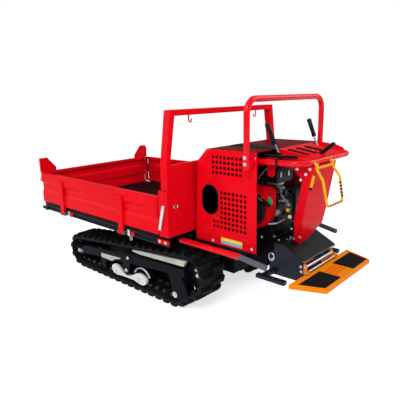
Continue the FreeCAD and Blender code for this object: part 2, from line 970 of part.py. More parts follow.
# Front gate: the same pressed section, with trapezoid ears above it
gate_face = front_gate_x + s.front_gate_depth
front_swage = s.front_gate_depth / 3
front_outline = [
    (gate_face, s.front_gate_bottom),
    (gate_face, 560),
    (gate_face - front_swage, 575),
    (gate_face - front_swage, 635),
    (gate_face, 650),
    (gate_face, s.gate_top),
    (front_gate_x, s.gate_top),
    (front_gate_x, s.gate_top - s.rim_height),
    (gate_face - s.gate_sheet, s.gate_top - s.rim_height),
    (gate_face - s.gate_sheet, 652),
    (gate_face - front_swage - s.gate_sheet, 637),
    (gate_face - front_swage - s.gate_sheet, 573),
    (gate_face - s.gate_sheet, 558),
    (gate_face - s.gate_sheet, s.hinge_height + 14),
    (front_gate_x, s.hinge_height + 14),
    (front_gate_x, s.hinge_height - 14),
    (gate_face - s.gate_sheet, s.hinge_height - 14),
    (gate_face - s.gate_sheet, s.front_gate_bottom),
]
front_hinge_x = front_gate_x + s.front_gate_depth / 2
front_panel = prism("XZ_Plane", front_outline, -front_gate_half, 2 * front_gate_half)
ear_outline = [
    (s.ear_inner - 20, s.gate_top - 1),
    (s.ear_inner - 20, s.gate_top + 26),
    (s.ear_inner + 50, s.ear_top),
    (front_gate_half + 16, s.ear_top),
    (front_gate_half + 16, s.gate_top - 1),
]
ear = fuse(
    prism("YZ_Plane", ear_outline, gate_face - 12, 6),
    box(
        (gate_face - 24, front_gate_half + 10, s.gate_top - 1),
        (gate_face - 7, front_gate_half + 16, s.ear_top - 14),
    ),
)
front_end = box(
    (front_gate_x, front_gate_half - s.gate_sheet, s.hinge_height + 14),
    (gate_face - front_swage, front_gate_half, s.gate_top),
)
pin_bore = rod(
    "y",
    (front_hinge_x, -s.bed_width, s.hinge_height),
    s.hinge_pin + 0.1,
    2 * s.bed_width,
)
ends = [ear, front_end]
node("front_gate", cut(fuse(front_panel, *ends, *[mirrored(piece) for piece in ends]), pin_bore))

lug_start = wall_x + s.bed_length - 60
front_lug = box(
    (lug_start, sill_outer, s.hinge_height - 12),
    (front_hinge_x + 12, sill_outer + 8, s.hinge_height + 12),
)
front_pin = bar(
    "y",
    (front_hinge_x, front_gate_half - 25, s.hinge_height),
    s.hinge_pin,
    sill_outer + 33 - front_gate_half,
)
front_pivot_left = fuse(front_lug, front_pin)
corner_foot = box(
    (wall_x + 6, sill_outer + s.seat_gap, 452),
    (wall_x + 140, sill_outer + 8, 476),
)
under_left = [pivot_plate, eye_plate, front_pivot_left, corner_foot]
node("bed_brackets", group(*under_left, *[mirrored(piece) for piece in under_left]))


# Latches: diamond tabs with a bolt and lever on the front gate, swing levers on the rear posts
tab_outline = [
    (front_gate_x + 2, 640),
    (front_gate_x + 2, 692),
    (gate_face, 692),
    (wall_x + front_reach, 666),
    (gate_face, 640),
]
front_tab = prism("XZ_Plane", tab_outline, front_gate_half + s.seat_gap, 5)
front_bolt = bar("y", (front_hinge_x + 8, front_gate_half + 4, 660), 9, 16)
front_latch_left = fuse(front_tab, front_bolt)
node("front_latches", group(front_latch_left, mirrored(front_latch_left)))
rear_pivot = bar("y", (wall_x + 30, bed_half + s.seat_gap, 671), 8, 12)
rear_lever = prism(
    "XZ_Plane",
    [
        (wall_x + 20, 664),
        (wall_x + 38, 678),
        (wall_x + 73, 533),
        (wall_x + 57, 529),
    ],
    bed_half + 6,
    4,
)
rear_latch_left = fuse(rear_pivot, rear_lever)
node("rear_latches", group(rear_latch_left, mirrored(rear_latch_left)))

# Tipping cylinder, lying between the rails

foot = Vector((wall_x + cylinder_foot_x).value, 0, s.cylinder_foot_z.value)
eye_point = Vector((wall_x + cylinder_eye_x).value, 0, s.cylinder_eye_z.value)
cylinder_line = (eye_point - foot).normalize()
cylinder_length = eye_point.distanceToPoint(foot)


def cylinder_barrel():
    radius = s.barrel_radius.value
    start = foot + cylinder_line * 24
    body = Part.Face(section(start, cylinder_line, radius, 16)).extrude(cylinder_line * (cylinder_length - 110))
    bore = Part.makeCylinder(
        (s.rod_radius + s.seat_gap).value, cylinder_length, start + cylinder_line * 20, cylinder_line
    )
    foot_corner = foot - Vector(0, 20, 0)
    eye = Part.Face(section(foot_corner, Vector(0, 1, 0), 24, 12)).extrude(Vector(0, 40, 0))
    pin_hole = Part.makeCylinder(12.05, 60, foot - Vector(0, 30, 0), Vector(0, 1, 0))
    neck = Part.Face(section(foot, cylinder_line, 18, 8)).extrude(cylinder_line * 40)
    return body.fuse(neck).fuse(eye).cut(bore).cut(pin_hole)


def cylinder_rod():
    start = foot + cylinder_line * 60
    stem = Part.makeCylinder(s.rod_radius.value, cylinder_length - 70, start, cylinder_line)
    eye_corner = eye_point - Vector(0, 20, 0)
    eye = Part.Face(section(eye_corner, Vector(0, 1, 0), 20, 12)).extrude(Vector(0, 40, 0))
    return stem.fuse(eye)


node("cylinder_barrel", solid(cylinder_barrel(), "Barrel"))
node("cylinder_rod", solid(cylinder_rod(), "RodBar"))
foot_pin = rod(
    "y",
    (wall_x + cylinder_foot_x, -s.barrel_radius - 6, s.cylinder_foot_z),
    12,
    2 * s.barrel_radius + 12,
)
foot_plate = prism(
    "XZ_Plane",
    [
        (wall_x + cylinder_foot_x - 30, s.cylinder_foot_z - 25),
        (wall_x + cylinder_foot_x + 25, s.cylinder_foot_z - 25),
        (wall_x + cylinder_foot_x + 25, s.cylinder_foot_z + 30),
        (wall_x + cylinder_foot_x - 60, s.rail_bottom + 30),
        (wall_x + cylinder_foot_x - 110, s.rail_bottom + 30),
    ],
    s.barrel_radius + s.running_gap,
    10,
)
foot_beam = box(
    (wall_x + cylinder_foot_x - 120, -(s.rail_half - s.rail_width), s.rail_bottom + 5),
    (wall_x + cylinder_foot_x - 70, s.rail_half - s.rail_width, s.rail_bottom + 45),
)
node("cylinder_mount", fuse(foot_pin, foot_plate, mirrored(foot_plate), foot_beam))


# Hood: two perforated side panels, a top with a vent band, and the deck they stand on

chamfer_foot = s.hood_top - s.hood_chamfer
hood_slope = [
    # the hood's front edge leans back, and its top corner is cut off
    (wall_x + s.hood_front - s.hood_lean, chamfer_foot),
    (wall_x + s.hood_front - s.hood_lean - s.hood_chamfer, s.hood_top),
]
panel_outline = [
    (wall_x + s.hood_front, s.hood_bottom),
    *hood_slope,
    (wall_x + s.hood_rear, s.hood_top),
    (wall_x + s.hood_rear, s.hood_bottom),
]
slot_outline = [
    # the long rounded opening ahead of the holes
    (wall_x - 67, 640),
    (wall_x - 67, 737),
    (wall_x - 79, 766),
    (wall_x - 106, 783),
    (wall_x - 148, 783),
    (wall_x - 175, 766),
    (wall_x - 187, 737),
    (wall_x - 187, 640),
    (wall_x - 175, 611),
    (wall_x - 148, 594),
    (wall_x - 106, 594),
    (wall_x - 79, 611),
]
hole_fields = [
    # rearmost hole's distance ahead of the rear wall, lowest row's height, holes in a row, rows
    (-344, 857, 8, 4),
    (-374, 605, 7, 6),
    (-374, 548, 9, 2),
]


def perforated_panel():
    """The near side panel. One hole of each field is a pocket, repeated in rows and columns."""
    inner_face = s.hood_half - s.hood_sheet
    body = prism("XZ_Plane", [panel_outline, slot_outline], inner_face, s.hood_sheet)
    for x, z, columns, rows in hole_fields:
        radius = s.hole_radius
        corners = []
        for k in range(6):
            angle = math.radians(30 + 60 * k)
            corners.append((wall_x + x + radius * math.cos(angle), radius * math.sin(angle) + z))
        sketch = outline_sketch(body, "XZ_Plane", [corners], -inner_face)
        pocket = body.newObject("PartDesign::Pocket", "Hole")
        pocket.Profile = sketch
        pocket.Midplane = True
        bind(pocket, "Length", s.hood_sheet * 4)
        pattern = body.newObject("PartDesign::MultiTransform", "Holes")
        pattern.Originals = [pocket]
        across = body.newObject("PartDesign::LinearPattern", "Columns")
        across.Direction = (sketch, ["H_Axis"])
        across.Occurrences = columns
        bind(across, "Length", s.hole_pitch * (columns - 1))
        up = body.newObject("PartDesign::LinearPattern", "Rows")
        up.Direction = (sketch, ["V_Axis"])
        up.Occurrences = rows
        bind(up, "Length", s.hole_rise * (rows - 1))
        pattern.Transformations = [across, up]
        body.Tip = pattern
    return body


node("hood_left", perforated_panel())
node("hood_right", prism("XZ_Plane", panel_outline, -s.hood_half, s.hood_sheet))

hood_inner = s.hood_half - s.hood_sheet - s.seat_gap
roof_rear = wall_x + s.hood_rear + 12
roof_outline = [
    (wall_x + s.hood_front, s.hood_bottom + 2),
    *hood_slope,
    (roof_rear, s.hood_top),
    (roof_rear, s.hood_top - s.hood_sheet),
    (hood_slope[1][0] - 1, s.hood_top - s.hood_sheet),
    (hood_slope[0][0] - s.hood_sheet, chamfer_foot - 1),
    (wall_x + s.hood_front - s.hood_sheet, s.hood_bottom + 2),
]
node("hood_top", prism("XZ_Plane", roof_outline, -hood_inner, 2 * hood_inner))

deck = box(
    (wall_x + s.hood_rear - 4, -s.hood_half, s.hood_bottom - s.deck_depth),
    (wall_x + s.hood_front, s.hood_half, s.hood_bottom - s.seat_gap),
)
deck_mounts = [
    box(
        (wall_x + s.hood_rear + 20, y, s.rail_top),
        (wall_x + s.hood_front - 20, y + s.rail_width - 10, s.hood_bottom - s.deck_depth + 1),
    )
    for y in (-s.rail_half + 5, s.rail_half - s.rail_width + 5)
]
node("engine_deck", fuse(deck, *deck_mounts))

# Engine: crankcase, finned cylinder and the pieces around it behind the hood's open rear
engine_base = s.hood_bottom + s.seat_gap
engine_top = s.hood_top - 194
crankcase = prism(
    "YZ_Plane",
    [
        (-118, engine_base),
        (96, engine_base),
        (96, 640),
        (70, 700),
        (-80, 700),
        (-118, 640),
    ],
    wall_x - 390,
    250,
)
fin_count = 7
fins = [
    box((wall_x - 404, -104, 562 + 16 * k), (wall_x - 386, 58, 568 + 16 * k)) for k in range(fin_count)
]
engine_risers = [
    box((wall_x - 384, -30, 690), (wall_x - 320, 80, engine_top - s.seat_gap)),
    box((wall_x - 270, -60, 690), (wall_x - 180, 60, engine_top - s.seat_gap)),
]
exhaust_stub = bar("y", (wall_x - 300, -130 + s.seat_gap, 630), 16, 40)
carburettor = fuse(
    box((wall_x - 424, 10, 704), (wall_x - 380, 62, 752)),
    bar("x", (wall_x - 446, 36, 728), 17, 30),
)
node("engine_block", fuse(crankcase, *fins, *engine_risers, exhaust_stub, carburettor))
shroud_y = 96 + s.seat_gap
shroud_x = wall_x - 290
shroud = fuse(
    bar("y", (shroud_x, shroud_y, 640), 128, 44, 28),
    bar("y", (shroud_x, shroud_y + 40, 640), 104, 30, 28),
)
starter = bar("y", (shroud_x, shroud_y + 66, 640), 62, 18, 20)
node("fan_shroud", fuse(shroud, starter))
cleaner_outline = [
    (-30, engine_top),
    (-42, engine_top + 14),
    (-42, engine_top + 62),
    (-24, engine_top + 82),
    (104, engine_top + 82),
    (122, engine_top + 62),
    (122, engine_top + 14),
    (110, engine_top),
]
node("air_cleaner", prism("YZ_Plane", cleaner_outline, wall_x - 436, 134))
tank_outline = [
    (wall_x - 292, engine_top),
    (wall_x - 292, engine_top + 104),
    (wall_x - 278, engine_top + 120),
    (wall_x - 122, engine_top + 120),
    (wall_x - 106, engine_top + 100),
    (wall_x - 106, engine_top + 16),
    (wall_x - 122, engine_top),
]
node("fuel_tank", prism("XZ_Plane", tank_outline, -130, 210))
muffler_outline = [
    (wall_x - 404, 580),
    (wall_x - 404, 682),
    (wall_x - 386, 700),
    (wall_x - 214, 700),
    (wall_x - 196, 682),
    (wall_x - 196, 580),
    (wall_x - 214, 562),
    (wall_x - 386, 562),
]
tail_pipe = bar("x", (wall_x - 440, -214, 604), 14, 60)
node("muffler", fuse(prism("XZ_Plane", muffler_outline, -280, 150), tail_pipe))


# Roll hoop bolted outside the hood panels

hoop_y = s.hoop_half
hoop_z = s.hoop_top - s.hoop_tube
hoop_points = [
    (wall_x + s.hoop_x, hoop_y, 905),
    (wall_x + s.hoop_x, hoop_y, hoop_z),
    (wall_x + s.hoop_x, -hoop_y, hoop_z),
    (wall_x + s.hoop_x, -hoop_y, 905),
]
hoop_foot = box(
    (wall_x + s.hoop_x - 15, s.hood_half + s.seat_gap, 916),
    (wall_x + s.hoop_x + 15, hoop_y - 5, 976),
)
hoop = tube(hoop_points, s.hoop_tube, s.hoop_bend)
node("roll_hoop", fuse(hoop, hoop_foot, mirrored(hoop_foot)))

# Operator's handle rail and console. The rail swings out to the far leg of the hoop
rail_middle = wall_x + s.handle_rear + s.handle_tube
handle_points = [
    (wall_x + s.hood_rear + 60, s.handle_half - 8, s.rail_z),
    (rail_middle, s.handle_half - 40, s.rail_z),
    (rail_middle, -s.handle_half - 20, s.rail_z),
    (wall_x - 530, -s.handle_half - 135, s.rail_z),
    (wall_x + s.hoop_x - 26, -s.hoop_half + 4, s.rail_z),
]
rail_end = box(
    (wall_x + s.hoop_x - 34, -s.hoop_half - 10, s.rail_z - 12),
    (wall_x + s.hoop_x - s.hoop_tube - s.seat_gap, -s.hoop_half + 16, s.rail_z + 12),
)
node("handle_rail", fuse(tube(handle_points, s.handle_tube, 50), rail_end))
plate_rear = rail_middle - 6
plate_low = s.rail_z + s.handle_tube + s.seat_gap
plate_front = wall_x + s.hood_rear + 12 - s.seat_gap
shelf_y = 122
plate_far = s.handle_half - 24
console_outline = [
    (plate_rear, plate_low),
    (plate_rear, plate_low + 4),
    (plate_front - 4, s.hood_top),
    (plate_front, s.hood_top),
    (plate_front, s.hood_top - 4),
    (plate_rear + 16, plate_low),
]
cheek_outline = [
    (plate_rear, plate_low),
    (plate_rear, plate_low + 4),
    (plate_front - 4, s.hood_top),
    (plate_front, s.hood_top),
    (plate_front, plate_low),
]
shelf_outline = [
    (wall_x + s.hood_rear + 6, shelf_y - 3),
    (wall_x + s.hood_rear + 6, s.handle_half - 34),
    (plate_rear + 38, s.handle_half - 70),
    (plate_rear, s.handle_half - 96),
    (plate_rear, shelf_y - 3),
]
console_top = prism("XZ_Plane", console_outline, -plate_far, plate_far + shelf_y)
cheeks = [prism("XZ_Plane", cheek_outline, y, 4) for y in (-plate_far, shelf_y - 4)]
shelf = prism("XY_Plane", shelf_outline, plate_low, 4)
lever_slots = [box((wall_x - 588, y - 6, plate_low), (wall_x - 498, y + 6, s.hood_top)) for y in (86, 0, -92)]
node("console_plate", cut(fuse(console_top, *cheeks, shelf), fuse(*lever_slots)))


def cover_height(x):
    """Underside of the rear box's cover at a distance ahead of the rear wall."""
    share = (s.cover_front - x) / (s.cover_front - s.box_rear)
    return s.box_top - 6 + s.cover_rise - s.cover_rise * share


column_foot = [(x, cover_height(x) + 6 + 2 * s.seat_gap) for x in (-528, -580)]
column_top = s.rail_z - s.handle_tube - s.seat_gap
column_outline = [
    (wall_x + column_foot[0][0], column_foot[0][1]),
    (wall_x + column_foot[1][0], column_foot[1][1]),
    (wall_x - 619, 620),
    (wall_x - 668, column_top),
    (wall_x - 626, column_top),
    (wall_x - 567, 620),
]
column_hollow = [
    (wall_x - 520, 430),
    (wall_x - 576, 430),
    (wall_x - 615, 620),
    (wall_x - 663.5, column_top + 2),
    (wall_x - 600, column_top + 2),
    (wall_x - 540, 620),
]
gusset_outline = [
    (wall_x - 539, 900),
    (wall_x - 539, plate_low - s.seat_gap),
    (wall_x - 630, plate_low - s.seat_gap),
    (wall_x - 632, column_top - 2),
    (wall_x - 606, 850),
]
column_width = s.column_left - s.column_right
node(
    "console_column",
    fuse(
        cut(
            prism("XZ_Plane", column_outline, s.column_right, column_width),
            prism("XZ_Plane", column_hollow, s.column_right + 4, column_width - 8),
        ),
        prism("XZ_Plane", gusset_outline, s.column_left - 4, 4),
    ),
)


def lever(foot_point, top_point, grip, radius):
    """A stalk on a small collar, with a thicker grip on its upper part."""
    low = Vector(*[as_size(c).value for c in foot_point])
    high = Vector(*[as_size(c).value for c in top_point])
    line = (high - low).normalize()
    stalk = Part.Face(section(low, line, 6, 8)).extrude(line * (high.distanceToPoint(low) - 10))
    handle = Part.Face(section(high - line * grip, line, radius, 12)).extrude(line * grip)
    return solid(stalk.fuse(handle), "Lever")


def lever_collar(x, y, floor):
    return bar("z", (wall_x + x, y, floor), 15, 12, 8)


shelf_top = plate_low + 4 + s.seat_gap


def slope_top(x):
    """Height of the console's sloping top at a distance ahead of the rear wall."""
    share = (plate_front - 4 - wall_x - x) / (plate_front - 4 - plate_rear)
    return s.hood_top - (s.hood_top - plate_low - 4) * share


levers = [
    fuse(
        lever((wall_x - 472, 155, shelf_top + 7), (wall_x - 387, 155, 1118), 100, 15),
        lever_collar(-472, 155, shelf_top),
    ),
    fuse(
        lever((wall_x - 474, -200, slope_top(-474) + 12), (wall_x - 401, -233, 1119), 100, 14),
        lever_collar(-474, -200, slope_top(-459) + s.seat_gap),
    ),
    fuse(
        lever((wall_x - 606, -40, slope_top(-606) + 16), (wall_x - 700, -60, 1020), 78, 12),
        lever_collar(-606, -40, slope_top(-591) + s.seat_gap),
    ),
    fuse(
        lever((wall_x - 466, 222, s.rail_z + 36), (wall_x - 558, 164, s.rail_z + 32), 109, 10),
        bar("z", (wall_x - 512, 193, shelf_top), 9, 20, 8),
    ),
]
node("levers", group(*levers))
grip_x = rail_middle - s.handle_tube - 14
stop_points = [
    (grip_x, 106, s.rail_z),
    (grip_x, 106, s.rail_z - 24),
    (wall_x - 745, 116, 704),
    (wall_x - 745, -55, 704),
    (grip_x, -46, s.rail_z - 24),
    (grip_x, -46, s.rail_z),
]
stop_bar = bar("y", (grip_x, -46, s.rail_z - 18), 6, 152, 8)
stop_lugs = [
    box(
        (grip_x - 4, y - 6, s.rail_z - 6),
        (rail_middle - s.handle_tube - s.seat_gap, y + 6, s.rail_z + 6),
    )
    for y in (106, -46)
]
node("stop_handle", fuse(tube(stop_points, 7, 18, sides=6), stop_bar, *stop_lugs))


# Rear box, its sloped cover, and the folding step

box_ledge = s.hood_bottom - s.deck_depth - 1
node(
    "rear_box",
    prism(
        "XZ_Plane",
        [
            (wall_x + s.box_front, s.box_bottom),
            (wall_x + s.box_rear, s.box_bottom),
            (wall_x + s.box_rear, cover_height(s.box_rear)),
            (wall_x + s.cover_front, cover_height(s.cover_front)),
            (wall_x + s.hood_rear - 12, cover_height(s.cover_front)),
            (wall_x + s.hood_rear - 12, box_ledge),
            (wall_x + s.box_front, box_ledge),
        ],
        -s.box_half,
        2 * s.box_half,
    ),
)
cover_low = cover_height(s.box_rear - 4) + s.seat_gap
cover_high = cover_height(s.cover_front) + s.seat_gap
node(
    "box_cover",
    prism(
        "XZ_Plane",
        [
            (wall_x + s.hood_rear - 12, cover_high),
            (wall_x + s.cover_front, cover_high),
            (wall_x + s.box_rear - 4, cover_low),
            (wall_x + s.box_rear - 4, cover_low + 6),
            (wall_x + s.cover_front, cover_high + 6),
            (wall_x + s.hood_rear - 12, cover_high + 6),
        ],
        -s.box_half - 4,
        2 * s.box_half + 8,
    ),
)

step_front = s.step_axis_x + 10
step_rear = -s.rear_reach


def step_edge(x):
    """Half of the step's width at a distance ahead of the rear wall."""
    share = (step_front - x) / (step_front - step_rear)
    return s.step_front_half - (s.step_front_half - s.step_rear_half) * share


def step_field(front, rear, inset):
    """The step's tapered outline between two cross bars."""
    return [
        (wall_x + front, -(step_edge(front) - inset)),
        (wall_x + front, step_edge(front) - inset),
        (wall_x + rear, step_edge(rear) - inset),
        (wall_x + rear, -(step_edge(rear) - inset)),
    ]


def step_pad(y_inner, inset):
    """The outline of one rubber pad between the centre plate and the frame's side."""
    front = step_front - 36 - inset
    rear = step_rear + s.step_tube + inset
    return [
        (wall_x + front, y_inner + inset),
        (wall_x + front, step_edge(front) - s.step_tube - inset),
        (wall_x + rear, step_edge(rear) - s.step_tube - inset),
        (wall_x + rear, y_inner + inset),
    ]


step_bottom = s.step_top - s.step_depth
pad_y = 76
pad_gaps = [step_pad(pad_y, 0), [(x, -y) for x, y in step_pad(pad_y, 0)]]
tread_holes = []
for row in range(3):
    for column in range(4):
        x = wall_x + step_front - 62 - 26 * row
        y = 34 * column - 51
        tread_holes.append([(x - 7, y - 11), (x + 7, y - 11), (x + 7, y + 11), (x - 7, y + 11)])
step_ears = [
    prism(
        "XZ_Plane",
        [
            (wall_x + step_front, step_bottom + 4),
            (wall_x + step_front, s.step_axis_z + 10),
            (wall_x + s.step_axis_x - 10, s.step_axis_z + 10),
            (wall_x + step_front - 30, step_bottom + 4),
        ],
        y,
        8,
    )
    for y in (-s.box_half + 12, s.box_half - 20)
]
ear_bore = rod("y", (wall_x + s.step_axis_x, -s.box_half, s.step_axis_z), 6.1, 2 * s.box_half)
step_ring = prism(
    "XY_Plane",
    [step_field(step_front, step_rear, 0), *pad_gaps, *tread_holes],
    step_bottom,
    s.step_depth,
)
node("step_frame", cut(fuse(step_ring, *step_ears), ear_bore))
hinge_pin = rod("y", (wall_x + s.step_axis_x, -s.box_half + 2, s.step_axis_z), 6, 2 * s.box_half - 4)
hinge_lugs = [
    box(
        (wall_x + s.step_axis_x - 10, y, s.step_axis_z - 10),
        (wall_x + s.box_rear, y + 8, s.step_axis_z + 10),
    )
    for y in (-s.box_half + 2, s.box_half - 10)
]
node("step_hinge", fuse(hinge_pin, *hinge_lugs))
pad_left = prism("XY_Plane", step_pad(pad_y, s.seat_gap), step_bottom + 6, s.step_depth - 4)
node("step_tread", group(pad_left, mirrored(pad_left)))

# Side guard bars and the rails that carry the step
bar_points = [
    (wall_x - 555, s.guard_bar_y - 10, s.guard_bar_z - 24),
    (wall_x - 410, s.guard_bar_y, s.guard_bar_z),
    (wall_x + 45, s.guard_bar_y, s.guard_bar_z),
]
bar_arms = [
    box((wall_x + x, s.rail_half, s.rail_top - 10), (wall_x + x + 30, s.guard_bar_y, s.rail_top + 13))
    for x in (-400, -60)
]
bar_left = fuse(tube(bar_points, s.guard_bar_tube, 60), *bar_arms)
node("guard_bars", group(bar_left, mirrored(bar_left)))
step_rail = fuse(
    box((wall_x + s.box_rear + 30, 290, step_bottom), (wall_x + s.box_front - 10, 320, s.step_top)),
    box((wall_x + s.box_front - 60, s.box_half, step_bottom), (wall_x + s.box_front - 30, 300, s.step_top)),
)
node("step_rails", group(step_rail, mirrored(step_rail)))

doc.recompute()


# Check every object, then write each sub-part to its own file

for obj in doc.Objects:
    if "Invalid" in obj.State or "Error" in obj.State:
        raise RuntimeError("%s failed: %s" % (obj.Label, obj.State))
labels = [obj.Label for obj in NODES]
if len(set(labels)) != len(labels):
    raise RuntimeError("two sub-parts share a label")
for obj in NODES:
    if obj.Shape.isNull() or not obj.Shape.isValid() or not obj.Shape.Solids:
        raise RuntimeError("%s has no valid solid" % obj.Label)
os.makedirs("parts", exist_ok=True)
for obj in NODES:
    obj.Shape.exportStep("parts/%s.step" % obj.Label)
    size = obj.Shape.BoundBox
    print(
        "%-18s solids %2d  x %6.0f %6.0f  y %5.0f %5.0f  z %5.0f %5.0f"
        % (obj.Label, len(obj.Shape.Solids), size.XMin, size.XMax, size.YMin, size.YMax, size.ZMin, size.ZMax)
    )
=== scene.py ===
# The look of the crawler carrier, in metres, around the CAD model.
# +X points to the dump end, +Y to the machine's left, +Z up, ground at z = 0.
# The pieces are drawn with x as the distance ahead of the bed's rear wall, and moved by WALL when made.
import math

import bmesh
import bpy
from mathutils import Matrix, Vector


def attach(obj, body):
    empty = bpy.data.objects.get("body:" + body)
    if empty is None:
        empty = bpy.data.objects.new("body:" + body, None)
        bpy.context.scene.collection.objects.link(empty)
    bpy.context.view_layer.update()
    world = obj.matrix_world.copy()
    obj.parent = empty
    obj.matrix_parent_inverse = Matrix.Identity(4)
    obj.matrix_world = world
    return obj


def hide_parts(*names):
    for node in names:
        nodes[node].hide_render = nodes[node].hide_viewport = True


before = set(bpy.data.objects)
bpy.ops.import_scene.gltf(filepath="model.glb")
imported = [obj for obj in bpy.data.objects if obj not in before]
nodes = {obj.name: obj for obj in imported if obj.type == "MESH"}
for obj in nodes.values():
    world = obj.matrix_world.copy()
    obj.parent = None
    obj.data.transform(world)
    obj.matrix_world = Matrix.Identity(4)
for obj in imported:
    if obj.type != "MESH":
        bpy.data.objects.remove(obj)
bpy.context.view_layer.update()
scene = bpy.context.scene
WALL = -0.3305  # the rear face of the bed's rear wall, in the CAD model's frame
UP = Vector((0, 0, 1))
SIDE = Vector((0, 1, 0))
FORE = Vector((1, 0, 0))
SIDES = ((1, "left"), (-1, "right"))


# Camera: the photograph's view, for a square image

CAMERA_PLACE = (-2.0407, 2.1003, 1.2744)
YAW, PITCH, ROLL = -0.8179, 0.239, -0.0237
SENSOR = 36.0
FOCAL_SHARE = 431.2 / 400  # focal length over the image's width


def add_camera():
    look = Vector((math.cos(PITCH) * math.cos(YAW), math.cos(PITCH) * math.sin(YAW), -math.sin(PITCH)))
    right = look.cross(UP).normalized()
    up = right.cross(look)
    right_tilted = math.cos(ROLL) * right + math.sin(ROLL) * up
    up_tilted = math.cos(ROLL) * up - math.sin(ROLL) * right
    turn = Matrix((right_tilted, up_tilted, -look)).transposed()
    data = bpy.data.cameras.new("Camera")
    data.sensor_width = SENSOR
    data.sensor_height = SENSOR
    data.sensor_fit = "HORIZONTAL"
    data.lens = FOCAL_SHARE * SENSOR
    data.clip_start = 0.05
    camera = bpy.data.objects.new("Camera", data)
    camera.matrix_world = Matrix.Translation(CAMERA_PLACE) @ turn.to_4x4()
    scene.collection.objects.link(camera)
    scene.camera = camera


add_camera()


# Materials

def rgb(hex_text):
    """Linear colour from a six-digit sRGB code."""
    values = [int(hex_text[i:i + 2], 16) / 255 for i in (0, 2, 4)]
    return tuple(v / 12.92 if v <= 0.04045 else ((v + 0.055) / 1.055) ** 2.4 for v in values) + (1.0,)


class Finish:
    """A node-built finish: colour that varies, roughness that varies, and a fine bump."""

    def __init__(self, name, colour, roughness=0.5, metallic=0.0, coat=0.0, coat_roughness=0.1, specular=0.4):
        self.material = bpy.data.materials.new(name)
        self.material.use_nodes = True
        self.tree = self.material.node_tree
        self.inputs = self.tree.nodes["Principled BSDF"].inputs
        self.inputs["Base Color"].default_value = rgb(colour)
        self.inputs["Roughness"].default_value = roughness
        self.inputs["Metallic"].default_value = metallic
        self.inputs["Coat Weight"].default_value = coat
        self.inputs["Coat Roughness"].default_value = coat_roughness
        self.inputs["Specular IOR Level"].default_value = specular
        self.place = self.add("ShaderNodeTexCoord").outputs["Object"]

    def add(self, kind, **settings):
        made = self.tree.nodes.new(kind)
        for key, value in settings.items():
            setattr(made, key, value)
        return made

    def link(self, a, b):
        self.tree.links.new(a, b)

    def noise(self, scale, detail=4.0):
        made = self.add("ShaderNodeTexNoise")
        made.inputs["Scale"].default_value = scale
        made.inputs["Detail"].default_value = detail
        made.inputs["Roughness"].default_value = 0.55
        self.link(self.place, made.inputs["Vector"])
        return made.outputs["Fac"]

    def ramp(self, source, low, high, start=0.0, end=1.0):
        """Map a field between two stops onto a new range."""
        made = self.add("ShaderNodeMapRange")
        for key, value in (("From Min", low), ("From Max", high), ("To Min", start), ("To Max", end)):
            made.inputs[key].default_value = value
        self.link(source, made.inputs["Value"])
        return made.outputs["Result"]

    def tint(self, factor, colour):
        """Lay another colour over what is there, by a factor field."""
        mix = self.add("ShaderNodeMix", data_type="RGBA")
        self.link(factor, mix.inputs["Factor"])
        below = self.inputs["Base Color"]
        if below.is_linked:
            self.link(below.links[0].from_socket, mix.inputs["A"])
        else:
            mix.inputs["A"].default_value = below.default_value
        mix.inputs["B"].default_value = colour
        self.link(mix.outputs["Result"], below)
        return self

    def tint_twice(self, field, patches, colour):
        """Lay a colour where a field and a patchy noise are both high."""
        both = self.add("ShaderNodeMath", operation="MULTIPLY")
        self.link(field, both.inputs[0])
        self.link(patches, both.inputs[1])
        return self.tint(both.outputs["Value"], colour)

    def mottle(self, colour, amount, scale, detail=4.0, low=0.4, high=0.75):
        """Patches of another colour."""
        return self.tint(self.ramp(self.noise(scale, detail), low, high, 0.0, amount), colour)

    def rough(self, scale, low, high):
        self.link(self.ramp(self.noise(scale), 0.3, 0.7, low, high), self.inputs["Roughness"])
        return self

    def bump(self, scale, height, strength, detail=4.0):
        made = self.add("ShaderNodeBump")
        made.inputs["Strength"].default_value = strength
        made.inputs["Distance"].default_value = height
        self.link(self.noise(scale, detail), made.inputs["Height"])
        self.link(made.outputs["Normal"], self.inputs["Normal"])
        return self

    def edges(self, colour, amount):
        """Wear along convex edges, from the mesh's own pointiness."""
        sharp = self.add("ShaderNodeNewGeometry").outputs["Pointiness"]
        patches = self.ramp(self.noise(60.0), 0.45, 0.6)
        return self.tint_twice(self.ramp(sharp, 0.53, 0.6, 0.0, amount), patches, colour)

    def dust(self, colour, top, amount):
        """Dust that thins out upwards, from the ground to a height in metres."""
        split = self.add("ShaderNodeSeparateXYZ")
        self.link(self.place, split.inputs["Vector"])
        thinning = self.ramp(split.outputs["Z"], 0.0, top, amount, 0.0)
        return self.tint_twice(thinning, self.ramp(self.noise(14.0, 6.0), 0.35, 0.7), colour)


def gloss_paint(name, colour, roughness=0.34, coat=0.03, specular=0.025):
    """Sprayed enamel: slight shifts of tone, a faint orange peel and a clear top layer."""
    made = Finish(name, colour, roughness=roughness, coat=coat, coat_roughness=0.08, specular=specular)
    darker = tuple(value * 0.72 for value in rgb(colour)[:3]) + (1.0,)
    made.mottle(darker, 0.3, 5.0, 3.0, low=0.35)
    made.rough(22.0, roughness - 0.06, roughness + 0.1)
    return made.bump(260.0, 0.0006, 0.12, 2.0)


